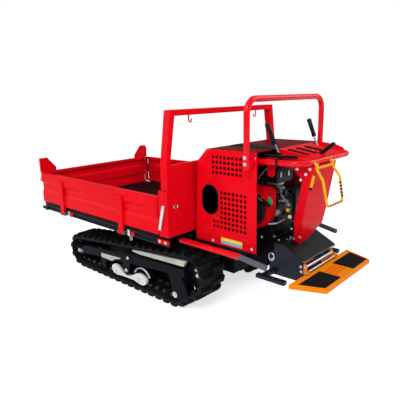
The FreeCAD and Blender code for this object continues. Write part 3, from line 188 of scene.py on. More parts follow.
red = gloss_paint("paint_red", "e20517").edges(rgb("8e0a14"), 0.35).material
tube_red = gloss_paint("paint_tube_red", "e20517", roughness=0.3, coat=0.3, specular=0.05).material
# The hood's top: the same red paint, darkened to stand for the shade on that face: painted shade.
shaded_red_paint = gloss_paint("paint_red_painted_shade", "6a0610", roughness=0.4, coat=0.0, specular=0.01).material
frame_black = gloss_paint("paint_black", "0b0d13", roughness=0.42).dust(rgb("30333b"), 0.5, 0.16).material
blue_black = gloss_paint("paint_blue_black", "181b26", roughness=0.38, coat=0.05, specular=0.1).material
box_grey = gloss_paint("paint_box_grey", "2b2d38", roughness=0.5).material
navy = gloss_paint("plate_navy", "11143a", roughness=0.35).material
orange = gloss_paint("paint_orange", "ee8408").material
yellow = gloss_paint("paint_yellow", "e8a81c").material
steel_grey = gloss_paint("paint_steel_grey", "5b6068", roughness=0.4).material
green = gloss_paint("badge_green", "2f9e62", roughness=0.3).material
pale_yellow = gloss_paint("label_yellow", "e9dc4e", roughness=0.5, coat=0.0).material
pale_blue = gloss_paint("label_blue", "8fb4c8", roughness=0.5, coat=0.0).material
silver_paint = gloss_paint("paint_silver", "d9dbdd", roughness=0.4, coat=0.1).material
cream = Finish("plastic_cream", "b9bbae", roughness=0.55).mottle(rgb("8f9187"), 0.5, 9.0)
cream = cream.bump(160.0, 0.0006, 0.2).material
black_plastic = Finish("plastic_black", "0a0b0d", roughness=0.42, specular=0.12)
black_plastic = black_plastic.mottle(rgb("101216"), 0.4, 12.0, high=0.8)
black_plastic = black_plastic.bump(420.0, 0.0006, 0.25, 2.0).material
rubber = Finish("rubber", "0c0d0f", roughness=0.78, specular=0.1).mottle(rgb("1b1c1f"), 0.6, 16.0, 6.0)
rubber = rubber.dust(rgb("45433f"), 0.35, 0.16).rough(30.0, 0.6, 0.9).bump(190.0, 0.001, 0.35, 3.0).material
zinc = Finish("zinc", "c9ccd0", roughness=0.34, metallic=0.85).mottle(rgb("8d9298"), 0.45, 40.0)
zinc = zinc.rough(60.0, 0.22, 0.42).material
alloy = Finish("cast_alloy", "9ea2a6", roughness=0.5, metallic=0.7).mottle(rgb("5d6165"), 0.6, 30.0, high=0.7)
alloy = alloy.bump(300.0, 0.0008, 0.4).material
dark_cast = Finish("cast_dark", "0f1013", roughness=0.5, metallic=0.2, specular=0.15)
dark_cast = dark_cast.mottle(rgb("1f2125"), 0.6, 26.0, low=0.45, high=0.7).bump(260.0, 0.0008, 0.4).material
worn_steel = Finish("worn_steel", "43464b", roughness=0.5, metallic=0.5)
worn_steel = worn_steel.mottle(rgb("1f2023"), 0.7, 24.0, high=0.7).bump(220.0, 0.0008, 0.3).material
chrome = Finish("chrome", "8f949c", roughness=0.2, metallic=1.0).rough(80.0, 0.08, 0.18).material

NODE_FINISH = (
    (rubber, "track_left track_right step_tread"),
    (frame_black, "track_wheels track_rollers track_frame_left track_frame_right chassis_frame tip_shaft"
     " gearbox engine_deck cylinder_mount bed_floor bed_brackets cylinder_barrel"),
    (red, "hood_left hood_right roll_hoop handle_rail console_plate console_column guard_bars rear_wall"
     " guard_frame rope_hooks side_gate_left side_gate_right front_gate front_latches fan_shroud fuel_tank"),
    # The hood's top takes the red darkened as painted shade.
    (shaded_red_paint, "hood_top"),
    (silver_paint, "bogies rear_latches"),
    (cream, "slide_rails"),
    (dark_cast, "engine_block muffler"),
    (zinc, "step_hinge"),
    (steel_grey, "hinge_brackets"),
    (box_grey, "rear_box"),
    (blue_black, "step_rails"),
    (chrome, "cylinder_rod"),
    (black_plastic, "air_cleaner levers box_cover"),
    (orange, "step_frame"),
    (yellow, "stop_handle"),
)
for finish, names in NODE_FINISH:
    for name in names.split():
        for place in nodes[name].material_slots:
            place.material = finish


# Mesh making

def angles(count, turn=0.0):
    """Even angles round a full circle."""
    return [2 * math.pi * (k + turn) / count for k in range(count)]


def arc_points(x, z, radius, start, end, steps):
    """Points of an arc as (distance ahead, height), from angles in degrees."""
    turns = [math.radians(start + (end - start) * k / steps) for k in range(steps + 1)]
    return [(x + radius * math.cos(a), z + radius * math.sin(a)) for a in turns]


def rounded(points, bend, steps=7):
    """A bent tube's centre line: its corners rounded off with arcs."""
    points = [Vector(point) for point in points]
    line = [points[0]]
    for before, corner, after in zip(points, points[1:], points[2:]):
        back = before - corner
        on = after - corner
        angle = back.angle(on)
        cut = min(bend / math.tan(angle / 2), back.length * 0.48, on.length * 0.48)
        a = corner + back.normalized() * cut
        b = corner + on.normalized() * cut
        middle = (back.normalized() + on.normalized()).normalized()
        radius = cut * math.tan(angle / 2)
        centre = corner + middle * (radius / math.sin(angle / 2))
        for k in range(steps + 1):
            spoke = (a - centre).lerp(b - centre, k / steps)
            line.append(centre + spoke.normalized() * radius)
    line.append(points[-1])
    return line


class Form:
    """Gathers the faces of one piece."""

    def __init__(self):
        self.mesh = bmesh.new()

    def ring(self, points):
        return [self.mesh.verts.new(point) for point in points]

    def circle(self, centre, axis, radius, sides):
        side = (axis.orthogonal() if abs(axis.z) < 0.9 else SIDE - axis * SIDE.dot(axis)).normalized()
        up = axis.cross(side)
        return self.ring([centre + radius * (math.cos(a) * side + math.sin(a) * up) for a in angles(sides)])

    def bridge(self, a, b):
        for k in range(len(a)):
            self.mesh.faces.new((a[k - 1], a[k], b[k], b[k - 1]))

    def loft(self, rings, closed=False):
        for a, b in zip(rings, rings[1:]):
            self.bridge(a, b)
        if closed:
            self.bridge(rings[-1], rings[0])
        else:
            self.mesh.faces.new(rings[0])
            self.mesh.faces.new(list(reversed(rings[-1])))

    def slab(self, outline, offset):
        """A flat outline of 3-D points, made solid along an offset."""
        self.loft([self.ring(outline), self.ring([Vector(point) + Vector(offset) for point in outline])])
        return self

    def plate(self, outline, y, depth):
        """A flat outline of (distance ahead, height), made solid across the machine from y."""
        return self.slab([(x, y, z) for x, z in outline], (0, depth, 0))

    def side_plate(self, side, outline, near, far):
        """A plate on one side of the machine, between two distances from its middle."""
        low, high = sorted((side * near, side * far))
        return self.plate(outline, low, high - low)

    def box(self, low, high):
        (ax, ay, az), (bx, by, bz) = low, high
        return self.slab([(ax, ay, az), (bx, ay, az), (bx, by, az), (ax, by, az)], (0, 0, bz - az))

    def side_box(self, side, low, high):
        """A box given by its corners on the left, put on either side."""
        (ax, ay, az), (bx, by, bz) = low, high
        near, far = sorted((side * ay, side * by))
        return self.box((ax, near, az), (bx, far, bz))

    def lathe(self, origin, axis, profile, sides):
        """Rings of (distance along the axis, radius)."""
        origin, axis = Vector(origin), Vector(axis).normalized()
        self.loft([self.circle(origin + axis * d, axis, r, sides) for d, r in profile])
        return self

    def rod(self, a, b, radius, sides=16):
        a, b = Vector(a), Vector(b)
        return self.lathe(a, b - a, [(0.0, radius), ((b - a).length, radius)], sides)

    def sweep(self, line, radius, sides, closed=False):
        line = [Vector(p) for p in line]
        count = len(line)
        normal = None
        rings = []
        for k, point in enumerate(line):
            before = line[k - 1] if k or closed else point
            after = line[(k + 1) % count] if k + 1 < count or closed else point
            along = (after - before).normalized()
            if normal is None:
                normal = along.orthogonal().normalized()
            normal = (normal - along * normal.dot(along)).normalized()
            cross = along.cross(normal)
            size = radius[k] if isinstance(radius, list) else radius
            spokes = [math.cos(a) * normal + math.sin(a) * cross for a in angles(sides)]
            rings.append(self.ring([point + size * spoke for spoke in spokes]))
        self.loft(rings, closed)
        return self

    def bolt(self, place, axis, size, washer=True):
        """A hexagon head with a chamfered crown on a washer."""
        base = 0.0
        if washer:
            base = 0.0018
            self.lathe(place, axis, [(-0.001, size * 1.5), (0.0012, size * 1.5), (base, size * 1.35)], 20)
        return self.lathe(
            place, axis,
            [(base - 0.0005, size), (base + size * 0.62, size), (base + size * 0.8, size * 0.78)],
            6,
        )

    def mirror(self):
        """Repeats everything on the other side of the machine."""
        everything = list(self.mesh.verts) + list(self.mesh.edges) + list(self.mesh.faces)
        again = bmesh.ops.duplicate(self.mesh, geom=everything)["geom"]
        for made in again:
            if isinstance(made, bmesh.types.BMVert):
                made.co.y = -made.co.y
        faces = [made for made in again if isinstance(made, bmesh.types.BMFace)]
        bmesh.ops.reverse_faces(self.mesh, faces=faces)

    def make(self, name, finish, stands_for=(), body="root", bevel=0.0, smooth=40, segments=2):
        bmesh.ops.translate(self.mesh, vec=FORE * WALL, verts=self.mesh.verts)
        bmesh.ops.recalc_face_normals(self.mesh, faces=self.mesh.faces)
        data = bpy.data.meshes.new(name)
        self.mesh.to_mesh(data)
        self.mesh.free()
        data.materials.append(finish)
        data.shade_smooth()
        data.set_sharp_from_angle(angle=math.radians(smooth))
        piece = bpy.data.objects.new(name, data)
        scene.collection.objects.link(piece)
        if bevel:
            soften(piece, bevel, 35, segments).harden_normals = True
        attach(piece, body)
        if stands_for:
            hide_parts(*stands_for)


def soften(item, width, angle, segments=2):
    soft = item.modifiers.new("Soft edges", "BEVEL")
    soft.width = width
    soft.segments = segments
    soft.limit_method = "ANGLE"
    soft.angle_limit = math.radians(angle)
    return soft


# Soft edges on the carried-over plates and beams

SOFT_NODES = (
    "chassis_frame bed_floor rear_wall guard_frame side_gate_left side_gate_right front_gate"
    " bed_brackets track_frame_left track_frame_right slide_rails bogies gearbox hood_right hood_top"
    " engine_deck engine_block fuel_tank muffler air_cleaner console_plate console_column rear_box"
    " box_cover step_rails cylinder_mount rear_latches front_latches"
)
for name in SOFT_NODES.split():
    weld = nodes[name].modifiers.new("Weld", "WELD")
    weld.merge_threshold = 0.00002
    flat = nodes[name].modifiers.new("Flat faces", "DECIMATE")
    flat.decimate_type = "DISSOLVE"
    flat.angle_limit = math.radians(0.4)
    soften(nodes[name], 0.0016, 40)


# Tracks: belt, lugs and guide horns along the wheels' path

TRACK_Y = 0.352
WHEELS = [
    # distance ahead, height and radius of the idler, rear roller and sprocket
    (1.12, 0.135, 0.089),
    (0.075, 0.086, 0.04),
    (-0.03, 0.24, 0.109),
]
BELT = 0.022
BELT_HALF = 0.099
BELT_STATIONS = 220
LUG = 0.024
LUG_PITCH = 0.072
AXLE_ENDS = (0.2965, 0.4175)


def belt_runs(grow):
    """Arcs as (length, x, z, radius, angle, turn), straights as (length, start, end, outwards)."""
    leans = []
    for (ax, az, ar), (bx, bz, br) in zip(WHEELS, WHEELS[1:] + WHEELS[:1]):
        leans.append(math.atan2(bz - az, bx - ax) + math.acos((ar - br) / math.hypot(bx - ax, bz - az)))
    runs = []
    for k, (x, z, radius) in enumerate(WHEELS):
        turn = (leans[k - 1] - leans[k]) % (2 * math.pi)
        runs.append(((radius + grow) * turn, x, z, radius + grow, leans[k - 1], turn))
        nx, nz, nr = WHEELS[(k + 1) % 3]
        out = (math.cos(leans[k]), math.sin(leans[k]))
        a = (x + out[0] * (radius + grow), z + out[1] * (radius + grow))
        b = (nx + out[0] * (nr + grow), nz + out[1] * (nr + grow))
        runs.append((math.dist(a, b), a, b, out))
    return runs


BELT_RUNS = belt_runs(BELT)
BELT_LENGTH = sum(run[0] for run in BELT_RUNS)


def belt_at(distance, lift, y):
    """A point on the belt's outer face at a distance along it, lifted outwards."""
    distance %= BELT_LENGTH
    for run in BELT_RUNS:
        if distance <= run[0]:
            break
        distance -= run[0]
    if len(run) == 6:
        angle = run[4] - distance / run[3]
        reach = run[3] + lift
        return Vector((run[1] + reach * math.cos(angle), y, run[2] + reach * math.sin(angle)))
    share = distance / run[0]
    (ax, az), (bx, bz), (ox, oz) = run[1:]
    return Vector((ax + (bx - ax) * share + ox * lift, y, az + (bz - az) * share + oz * lift))


def make_track(side, label):
    belt = Form()
    sections = []
    profile = [
        (-BELT_HALF, 0.004), (BELT_HALF, 0.004), (BELT_HALF, BELT * 0.8), (BELT_HALF - 0.006, BELT),
        (-BELT_HALF + 0.006, BELT), (-BELT_HALF, BELT * 0.8),
    ]
    for k in range(BELT_STATIONS):
        at = BELT_LENGTH * k / BELT_STATIONS
        sections.append(belt.ring([belt_at(at, h - BELT, side * (TRACK_Y + y)) for y, h in profile]))
    belt.loft(sections, closed=True)
    count = round(BELT_LENGTH / LUG_PITCH)
    pitch = BELT_LENGTH / count
    for k in range(count):
        for phase, middle, edge in ((0.0, -0.004, 0.0998), (0.5, 0.004, -0.0998)):
            at = (k + phase) * pitch
            rings = []
            for y, lift, foot, crown in (
                # sideways place, height, half length of the foot and of the crown
                (middle, LUG * 0.62, 0.016, 0.009),
                (middle + (edge - middle) * 0.12, LUG, 0.0175, 0.0105),
                (middle + (edge - middle) * 0.8, LUG, 0.0175, 0.0105),
                (edge, LUG * 0.45, 0.0185, 0.0125),
            ):
                outline = (
                    (-foot, -0.008), (-foot, 0.0), (-crown, lift), (crown, lift), (foot, 0.0), (foot, -0.008),
                )
                rings.append(belt.ring([belt_at(at + d, h, side * (TRACK_Y + y)) for d, h in outline]))
            belt.loft(rings)
    belt.make("tread_" + label, rubber, ["track_" + label], bevel=0.0022, smooth=30)
    horns = Form()
    for k in range(count):
        at = (k + 0.25) * pitch
        for low, high in ((-0.052, -0.037), (0.037, 0.052)):
            rings = []
            for share, slim in ((0.0, 0.0), (0.7, 0.003), (1.0, 0.006)):
                lift = -BELT - 0.018 * share
                near, far = side * (TRACK_Y + low + slim * 0.5), side * (TRACK_Y + high - slim * 0.5)
                back, on = at - 0.014 + slim, at + 0.014 - slim
                rings.append(horns.ring([
                    belt_at(d, lift, y) for d, y in ((back, near), (on, near), (on, far), (back, far))
                ]))
            horns.loft(rings)
    horns.make("guide_horns_" + label, worn_steel)


make_track(1, "left")
make_track(-1, "right")


def wheel_set():
    """Smooth idlers with dished webs, and sprockets with rounded teeth."""
    wheels = Form()
    x, z, radius = WHEELS[0]
    radius -= 0.0003
    rim = [
        (0, 0.028), (0.002, radius - 0.016), (0.018, radius - 0.012), (0.026, radius - 0.004),
        (0.026, radius), (0.0, radius),
    ]
    for out in (SIDE, -SIDE):
        wheels.lathe(Vector((x, TRACK_Y, z)) + out * 0.004, out, rim, 56)
        wheels.lathe((x, TRACK_Y, z), out, [(0, 0.03), (0.03, 0.03), (0.034, 0.026), (0.036, 0.014)], 32)
    wheels.rod((x, AXLE_ENDS[0], z), (x, AXLE_ENDS[1], z), 0.014, 20)
    for angle in angles(5, 0.3):
        wheels.bolt((x + 0.052 * math.cos(angle), TRACK_Y + 0.0055, z + 0.052 * math.sin(angle)), SIDE, 0.006)
    x, z, radius = WHEELS[2]
    radius -= 0.0003
    root = radius - 0.02
    outline = []
    for k in range(11):
        for share, reach in ((-0.36, root), (-0.2, radius - 0.006), (-0.11, radius), (0.11, radius),
                             (0.2, radius - 0.006), (0.36, root), (0.5, root - 0.003)):
            angle = (k + share) * 2 * math.pi / 11
            outline.append((x + reach * math.cos(angle), z + reach * math.sin(angle)))
    wheels.plate(outline, TRACK_Y - 0.018, 0.036)
    for side in (1, -1):
        hub = [(0, 0.062), (0.006, 0.058), (0.008, 0.046), (0.017, 0.043)]
        wheels.lathe((x, TRACK_Y + side * 0.018, z), side * SIDE, hub, 40)
        for angle in angles(6):
            spot = (x + 0.072 * math.cos(angle), TRACK_Y + side * 0.0185, z + 0.072 * math.sin(angle))
            wheels.bolt(spot, side * SIDE, 0.0065)
    wheels.mirror()
    wheels.make("idlers_and_sprockets", frame_black, ["track_wheels"], bevel=0.0015)


def roller_set():
    rollers = Form()
    z, radius = 0.086, 0.0397
    profile = [
        (0.0, radius - 0.01), (0.006, radius - 0.01), (0.009, radius), (0.028, radius),
        (0.032, radius - 0.005), (0.034, radius - 0.012), (0.031, radius - 0.02), (0.034, 0.016),
    ]
    for x in (0.075, 0.412, 0.662, 0.837):
        for out in (-SIDE, SIDE):
            rollers.lathe((x, TRACK_Y, z), out, profile, 36)
        rollers.rod((x, AXLE_ENDS[0], z), (x, AXLE_ENDS[1], z), 0.01)
    rollers.mirror()
    rollers.make("rollers", frame_black, ["track_rollers"])


wheel_set()
roller_set()


# Bent tubes

HOOP_Y = 0.379
HOOP_X = -0.422
HOOP_TOP = 1.25
HOOP_FOOT = 0.905
TUBE_RADIUS = 0.0162
RAIL_X = -0.652
RAIL_Z = 0.93
GUARD_Y = 0.4

hoop_line = [
    (HOOP_X, HOOP_Y, HOOP_FOOT), (HOOP_X, HOOP_Y, HOOP_TOP),
    (HOOP_X, -HOOP_Y, HOOP_TOP), (HOOP_X, -HOOP_Y, HOOP_FOOT),
]
hoop = Form().sweep(rounded(hoop_line, 0.07, 10), TUBE_RADIUS, 24)
hoop.make("roll_hoop_tube", tube_red, ["roll_hoop"])
feet = Form()
for side, label in SIDES:
    feet.side_box(side, (HOOP_X - 0.015, 0.3273, 0.916), (HOOP_X + 0.015, 0.372, 0.976))
feet.make("roll_hoop_feet", red, bevel=0.003)
rail_line = [
    (-0.388, 0.262, RAIL_Z), (RAIL_X, 0.23, RAIL_Z), (RAIL_X, -0.268, RAIL_Z), (-0.53, -0.4, RAIL_Z),
    (-0.437, -0.375, RAIL_Z),
]
Form().sweep(rounded(rail_line, 0.085), TUBE_RADIUS, 24).make("hand_rail", tube_red, ["handle_rail"])
for side, label in SIDES:
    y = side * GUARD_Y
    guard = Form().sweep([(0.045, y, 0.437), (-0.395, y, 0.437)], 0.0172, 20)
    guard.lathe((0.045, y, 0.437), FORE, [(-0.001, 0.0172), (0.003, 0.0155), (0.005, 0.01)], 20)
    guard.make("guard_bar_" + label, tube_red, ["guard_bars"] if side == 1 else ())
    tail_line = [(-0.395, y, 0.437), (-0.42, y, 0.435), (-0.555, side * 0.39, 0.413)]
    Form().sweep(rounded(tail_line, 0.05), 0.0155, 18).make("guard_tail_" + label, steel_grey)
    arms = Form()
    for x in (-0.4, -0.06):
        arms.side_box(side, (x, 0.2, 0.4), (x + 0.03, 0.395, 0.423))
    arms.make("guard_arms_" + label, frame_black, bevel=0.002)


# D-shaped stop handle, with black bands on its far leg and foot

GRIP_X = -0.682
STOP_NEAR = 0.139
STOP_FAR = -0.031
STOP_LOW_X = -0.747
STOP_LOW_Z = 0.7125

stop_line = [
    (GRIP_X, STOP_NEAR, 0.921), (GRIP_X, STOP_NEAR, 0.896), (-0.719, STOP_NEAR + 0.003, 0.842),
    (STOP_LOW_X, STOP_NEAR, STOP_LOW_Z), (STOP_LOW_X, STOP_FAR, STOP_LOW_Z),
    (-0.723, STOP_FAR - 0.003, 0.842), (GRIP_X, STOP_FAR, 0.896), (GRIP_X, STOP_FAR, 0.921),
]
stop = Form().sweep(rounded(stop_line, 0.018, 6), 0.0068, 14)
stop.sweep([(GRIP_X, STOP_NEAR + 0.006, 0.903), (GRIP_X, STOP_FAR - 0.006, 0.903)], 0.0066, 14)
for y in (STOP_NEAR, STOP_FAR):
    stop.plate(
        [(GRIP_X - 0.006, 0.914), (GRIP_X + 0.006, 0.91), (-0.666, 0.922), (-0.666, 0.934),
         (GRIP_X - 0.004, 0.926)],
        y - 0.005, 0.01,
    )
stop.make("stop_handle_bar", yellow, ["stop_handle"], bevel=0.001)


def band_profile(length):
    return [(0.0, 0.0066), (0.0002, 0.0071), (length, 0.0071), (length + 0.0002, 0.0066)]


bands = Form()
for k in range(6):
    bands.lathe((STOP_LOW_X, STOP_NEAR - 0.02 - 0.0255 * k, STOP_LOW_Z), -SIDE, band_profile(0.0105), 14)
low_end = Vector((STOP_LOW_X + 0.003, STOP_FAR - 0.0003, STOP_LOW_Z + 0.024))
high_end = Vector((-0.7265, STOP_FAR - 0.0025, 0.822))
for k in range(5):
    bands.lathe(low_end.lerp(high_end, k / 5), high_end - low_end, band_profile(0.0095), 14)
bands.make("stop_handle_bands", black_plastic)
tab = Form().plate([(-0.683, 0.866), (-0.668, 0.868), (-0.655, 0.806), (-0.669, 0.803)], 0.1554, 0.003)
tab.make("yellow_tab", yellow, bevel=0.0008)
tip = Form().plate([(-0.6695, 0.8025), (-0.6545, 0.8055), (-0.652, 0.792), (-0.666, 0.789)], 0.1552, 0.0036)
tip.make("yellow_tab_tip", black_plastic, bevel=0.0008)


# Levers: bright stalks, black grips and rubber boots

def lever(name, base, top, grip, radius, stands_for=()):
    base, top = Vector(base), Vector(top)
    line = (top - base).normalized()
    length = (top - base).length
    start = length - grip
    profile = [
        (start, 0.0062), (start, radius * 0.86), (start + 0.004, radius),
        (start + grip * 0.25, radius * 0.94), (start + grip * 0.6, radius), (length - 0.006, radius * 1.04),
        (length - 0.0015, radius * 0.92), (length, radius * 0.6),
    ]
    Form().lathe(base, line, profile, 24).make(name + "_grip", black_plastic, stands_for)
    Form().rod(base, base + line * (start + 0.01), 0.0058).make(name + "_stalk", chrome)
    boot = [(0.0, 0.0185), (0.003, 0.0185), (0.005, 0.014), (0.008, 0.015), (0.011, 0.01), (0.016, 0.0075)]
    Form().lathe(base - UP * 0.006, UP, boot, 24).make(name + "_boot", rubber)


lever("lever_near", (-0.462, 0.15, 0.958), (-0.388, 0.157, 1.119), 0.122, 0.0128, ["levers"])
lever("lever_far", (-0.5, -0.206, 0.962), (-0.431, -0.212, 1.1235), 0.108, 0.0125)
lever("lever_third", (-0.612, -0.028, 0.956), (-0.692, -0.02, 1.0135), 0.09, 0.0118)

CROSS_LENGTH = 0.168
cross_front, cross_rear = Vector((-0.437, 0.224, 0.9565)), Vector((-0.603, 0.196, 0.9585))
cross_bar = Form().rod(cross_front, cross_rear, 0.0075)
for start, end in ((0.0, 0.42), (0.6, 1.0)):
    length = (end - start) * CROSS_LENGTH
    sleeve = [(0.0, 0.006), (0.001, 0.0098), (length - 0.001, 0.0098), (length, 0.006)]
    cross_bar.lathe(cross_front.lerp(cross_rear, start), cross_rear - cross_front, sleeve, 18)
cross_bar.box((-0.531, 0.198, 0.944), (-0.513, 0.226, 0.962))
cross_bar.box((-0.528, 0.222, 0.9485), (-0.518, 0.268, 0.9535))
cross_bar.box((-0.528, 0.2635, 0.905), (-0.518, 0.268, 0.9535))
cross_bar.make("cross_lever", black_plastic, bevel=0.0008)


# Console: slot liners, cheek, hanging tab, and a black louvred strip on the roof, which is painted shade of
# the recessed roof

def slope_strip(rear, front):
    """Side outline of a strip let into the console's sloping top, from 3 mm below it to 4 mm above."""
    outline = []
    for x, lift in ((rear, 0.004), (front, 0.004), (front, -0.003), (rear, -0.003)):
        slope_top = 0.984 + (x + 0.4393) * (0.984 - 0.9502) / (0.6575 - 0.4393)
        outline.append((x, slope_top + lift))
    return outline


liners = Form()
for y in (0.086, 0.0, -0.092):
    for side in (-1, 1):
        liners.plate(slope_strip(-0.596, -0.484), y + side * 0.0078, side * 0.0062)
    for x in (-0.597, -0.488):
        liners.plate(slope_strip(x - 0.005, x + 0.005), y - 0.014, 0.028)
liners.make("slot_liners", rubber, bevel=0.001)
cheek = Form().plate(
    [(-0.452, 0.978), (-0.64, 0.95), (-0.64, 0.964), (-0.6, 0.98), (-0.5, 0.992), (-0.452, 0.99)],
    -0.2475, 0.003,
)
cheek.make("console_far_cheek", red, bevel=0.0008)
hang_line = [(-0.432, 0.945)] + arc_points(-0.4555, 0.868, 0.0235, 0, -180, 10) + [(-0.479, 0.945)]
Form().plate(hang_line, 0.205, 0.004).make("hanging_tab", red, bevel=0.0012)
# A black strip with louvre ribs, laid where the recessed roof's shade falls: painted shade.
shade_strip = Form().box((-0.434, 0.04, 0.9842), (-0.13, 0.15, 0.9872))
for k in range(14):
    x = -0.424 + 0.0208 * k
    shade_strip.plate([(x, 0.9868), (x + 0.012, 0.9868), (x + 0.012, 0.9905)], 0.048, 0.094)
shade_strip.make("roof_shade_strip", black_plastic, bevel=0.0006)


# Track frames with a slim beam, a rear leg and the bogie's bracket

# Outline of (distance ahead, height), then the nearer and the farther face from the middle
FRAME_PLATES = [
    ([(1.156, 0.111), (1.156, 0.159), (1.09, 0.161), (1.05, 0.19), (0.195, 0.268), (-0.02, 0.276),
      (-0.02, 0.226), (0.2, 0.214), (0.52, 0.182), (0.86, 0.15), (1.05, 0.127), (1.09, 0.111)],
     0.4183, 0.4478),
    ([(1.05, 0.14), (0.03, 0.243), (0.03, 0.252), (1.05, 0.149)], 0.4478, 0.4495),
    ([(0.135, 0.228), (0.02, 0.236), (-0.022, 0.15), (-0.038, 0.105), (-0.034, 0.08), (-0.012, 0.064),
      (0.03, 0.058), (0.072, 0.062), (0.098, 0.074), (0.106, 0.094), (0.1, 0.115), (0.112, 0.165)],
     0.4188, 0.44),
    ([(0.815, 0.07), (0.859, 0.07), (0.869, 0.16), (0.805, 0.16)], 0.4188, 0.428),
    ([(0.02, 0.276), (-0.05, 0.3), (-0.085, 0.306), (-0.112, 0.26), (-0.108, 0.205), (-0.088, 0.196),
      (-0.078, 0.24), (-0.058, 0.262), (0.02, 0.24)],
     0.4, 0.411),
    ([(0.572, 0.19), (0.585, 0.226), (0.47, 0.236), (0.49, 0.19)]
     + arc_points(0.537, 0.128, 0.034, 180, 360, 12),
     0.4482, 0.4516),
    ([(0.055, 0.064), (1.18, 0.064), (1.146, 0.113), (1.146, 0.157), (1.07, 0.185), (0.135, 0.276),
      (0.055, 0.27)],
     0.288, 0.296),
]
ARM_LINE = [
    (0.338, 0.098), (0.346, 0.076), (0.366, 0.062), (0.4, 0.058), (0.43, 0.064), (0.47, 0.072),
    (0.537, 0.07), (0.61, 0.066), (0.655, 0.06), (0.695, 0.068), (0.714, 0.092), (0.708, 0.12),
    (0.684, 0.134), (0.65, 0.132), (0.618, 0.112), (0.59, 0.096), (0.56, 0.092), (0.515, 0.092),
    (0.48, 0.104), (0.448, 0.124), (0.41, 0.134), (0.372, 0.128), (0.346, 0.116),
]
HUB = [(-0.002, 0.02), (0.002, 0.02), (0.004, 0.017), (0.004, 0.011), (0.008, 0.01), (0.01, 0.006)]
# Distance ahead, distance from the middle, height and size
FRAME_BOLTS = [
    (0.537, 0.4514, 0.128, 0.0085), (0.512, 0.4514, 0.222, 0.0075), (0.412, 0.4463, 0.09, 0.009),
    (0.662, 0.4463, 0.09, 0.009), (1.118, 0.4476, 0.136, 0.01), (1.085, 0.4476, 0.14, 0.006),
    (-0.088, 0.4108, 0.285, 0.0085), (-0.094, 0.4108, 0.25, 0.0085),
]
for side, label in SIDES:
    side_frame = Form()
    for outline, near, far in FRAME_PLATES:
        side_frame.side_plate(side, outline, near, far)
    for x, z in ((1.06, 0.2), (0.42, 0.24), (0.15, 0.25)):
        side_frame.side_box(side, (x - 0.03, 0.15, z - 0.02), (x + 0.03, 0.289, z + 0.02))
    side_frame.make("side_frame_" + label, frame_black, ["track_frame_" + label], bevel=0.0018)
    arm = Form().side_plate(side, ARM_LINE, 0.4235, 0.4465)
    arm.make("bogie_arm_" + label, silver_paint, ["bogies"], bevel=0.004, segments=3)
    trims = Form().lathe((0.075, side * 0.44, 0.088), side * SIDE, HUB, 28)
    for x, y, z, size in FRAME_BOLTS:
        trims.bolt((x, side * y, z), side * SIDE, size)
    trims.make("undercarriage_bolts_" + label, zinc, bevel=0.0004)


# Hood panel with round holes and an oval opening with a rubber edge

HOOD_Y = 0.3255
HOOD_LINE = [(-0.01, 0.443), (-0.036, 0.912), (-0.108, 0.984), (-0.448, 0.984), (-0.448, 0.443)]
# Distance ahead and height of the first hole, columns and rows
HOLE_FIELDS = [(-0.344, 0.857, 8, 4), (-0.374, 0.605, 7, 6), (-0.374, 0.548, 9, 2)]
PANEL_CHAMFER = 0.0006


def slot_line(radius):
    """The oval opening's edge, as (distance ahead, height)."""
    return arc_points(-0.127, 0.723, radius, 0, 180, 16) + arc_points(-0.127, 0.671, radius, 180, 360, 16)


def perforated_panel():
    loops = [HOOD_LINE, slot_line(0.06)]
    for x, z, columns, rows in HOLE_FIELDS:
        for column in range(columns):
            for row in range(rows):
                loops.append(arc_points(x + 0.0274 * column, z + 0.0284 * row, 0.0093, 0, 345, 23))
    curve = bpy.data.curves.new("panel", "CURVE")
    curve.dimensions = "2D"
    curve.fill_mode = "BOTH"
    curve.extrude = 0.0009
    curve.bevel_depth = PANEL_CHAMFER
    curve.bevel_resolution = 1
    curve.offset = -PANEL_CHAMFER
    for loop in loops:
        spline = curve.splines.new("POLY")
        spline.points.add(len(loop) - 1)
        for point, (x, z) in zip(spline.points, loop):
            point.co = (WALL + x, z, 0, 1)
        spline.use_cyclic_u = True
    holder = bpy.data.objects.new("panel", curve)
    scene.collection.objects.link(holder)
    bpy.context.view_layer.update()
    flat = bpy.data.meshes.new_from_object(holder.evaluated_get(bpy.context.evaluated_depsgraph_get()))
    bpy.data.objects.remove(holder)
    panel = Form()
    panel.mesh.from_mesh(flat)
    bpy.data.meshes.remove(flat)
    for vert in panel.mesh.verts:
        x, z, depth = vert.co
        vert.co = (x - WALL, HOOD_Y + depth, z)
    bmesh.ops.remove_doubles(panel.mesh, verts=panel.mesh.verts, dist=0.00001)
    panel.make("hood_panel_left", red, ["hood_left"], smooth=30)


perforated_panel()
edging = [(x, HOOD_Y, z) for x, z in slot_line(0.0585)]
Form().sweep(edging, 0.0042, 10, closed=True).make("slot_edging", rubber)


# Bolts of the hood, the hoop and the gusset, and blank stickers

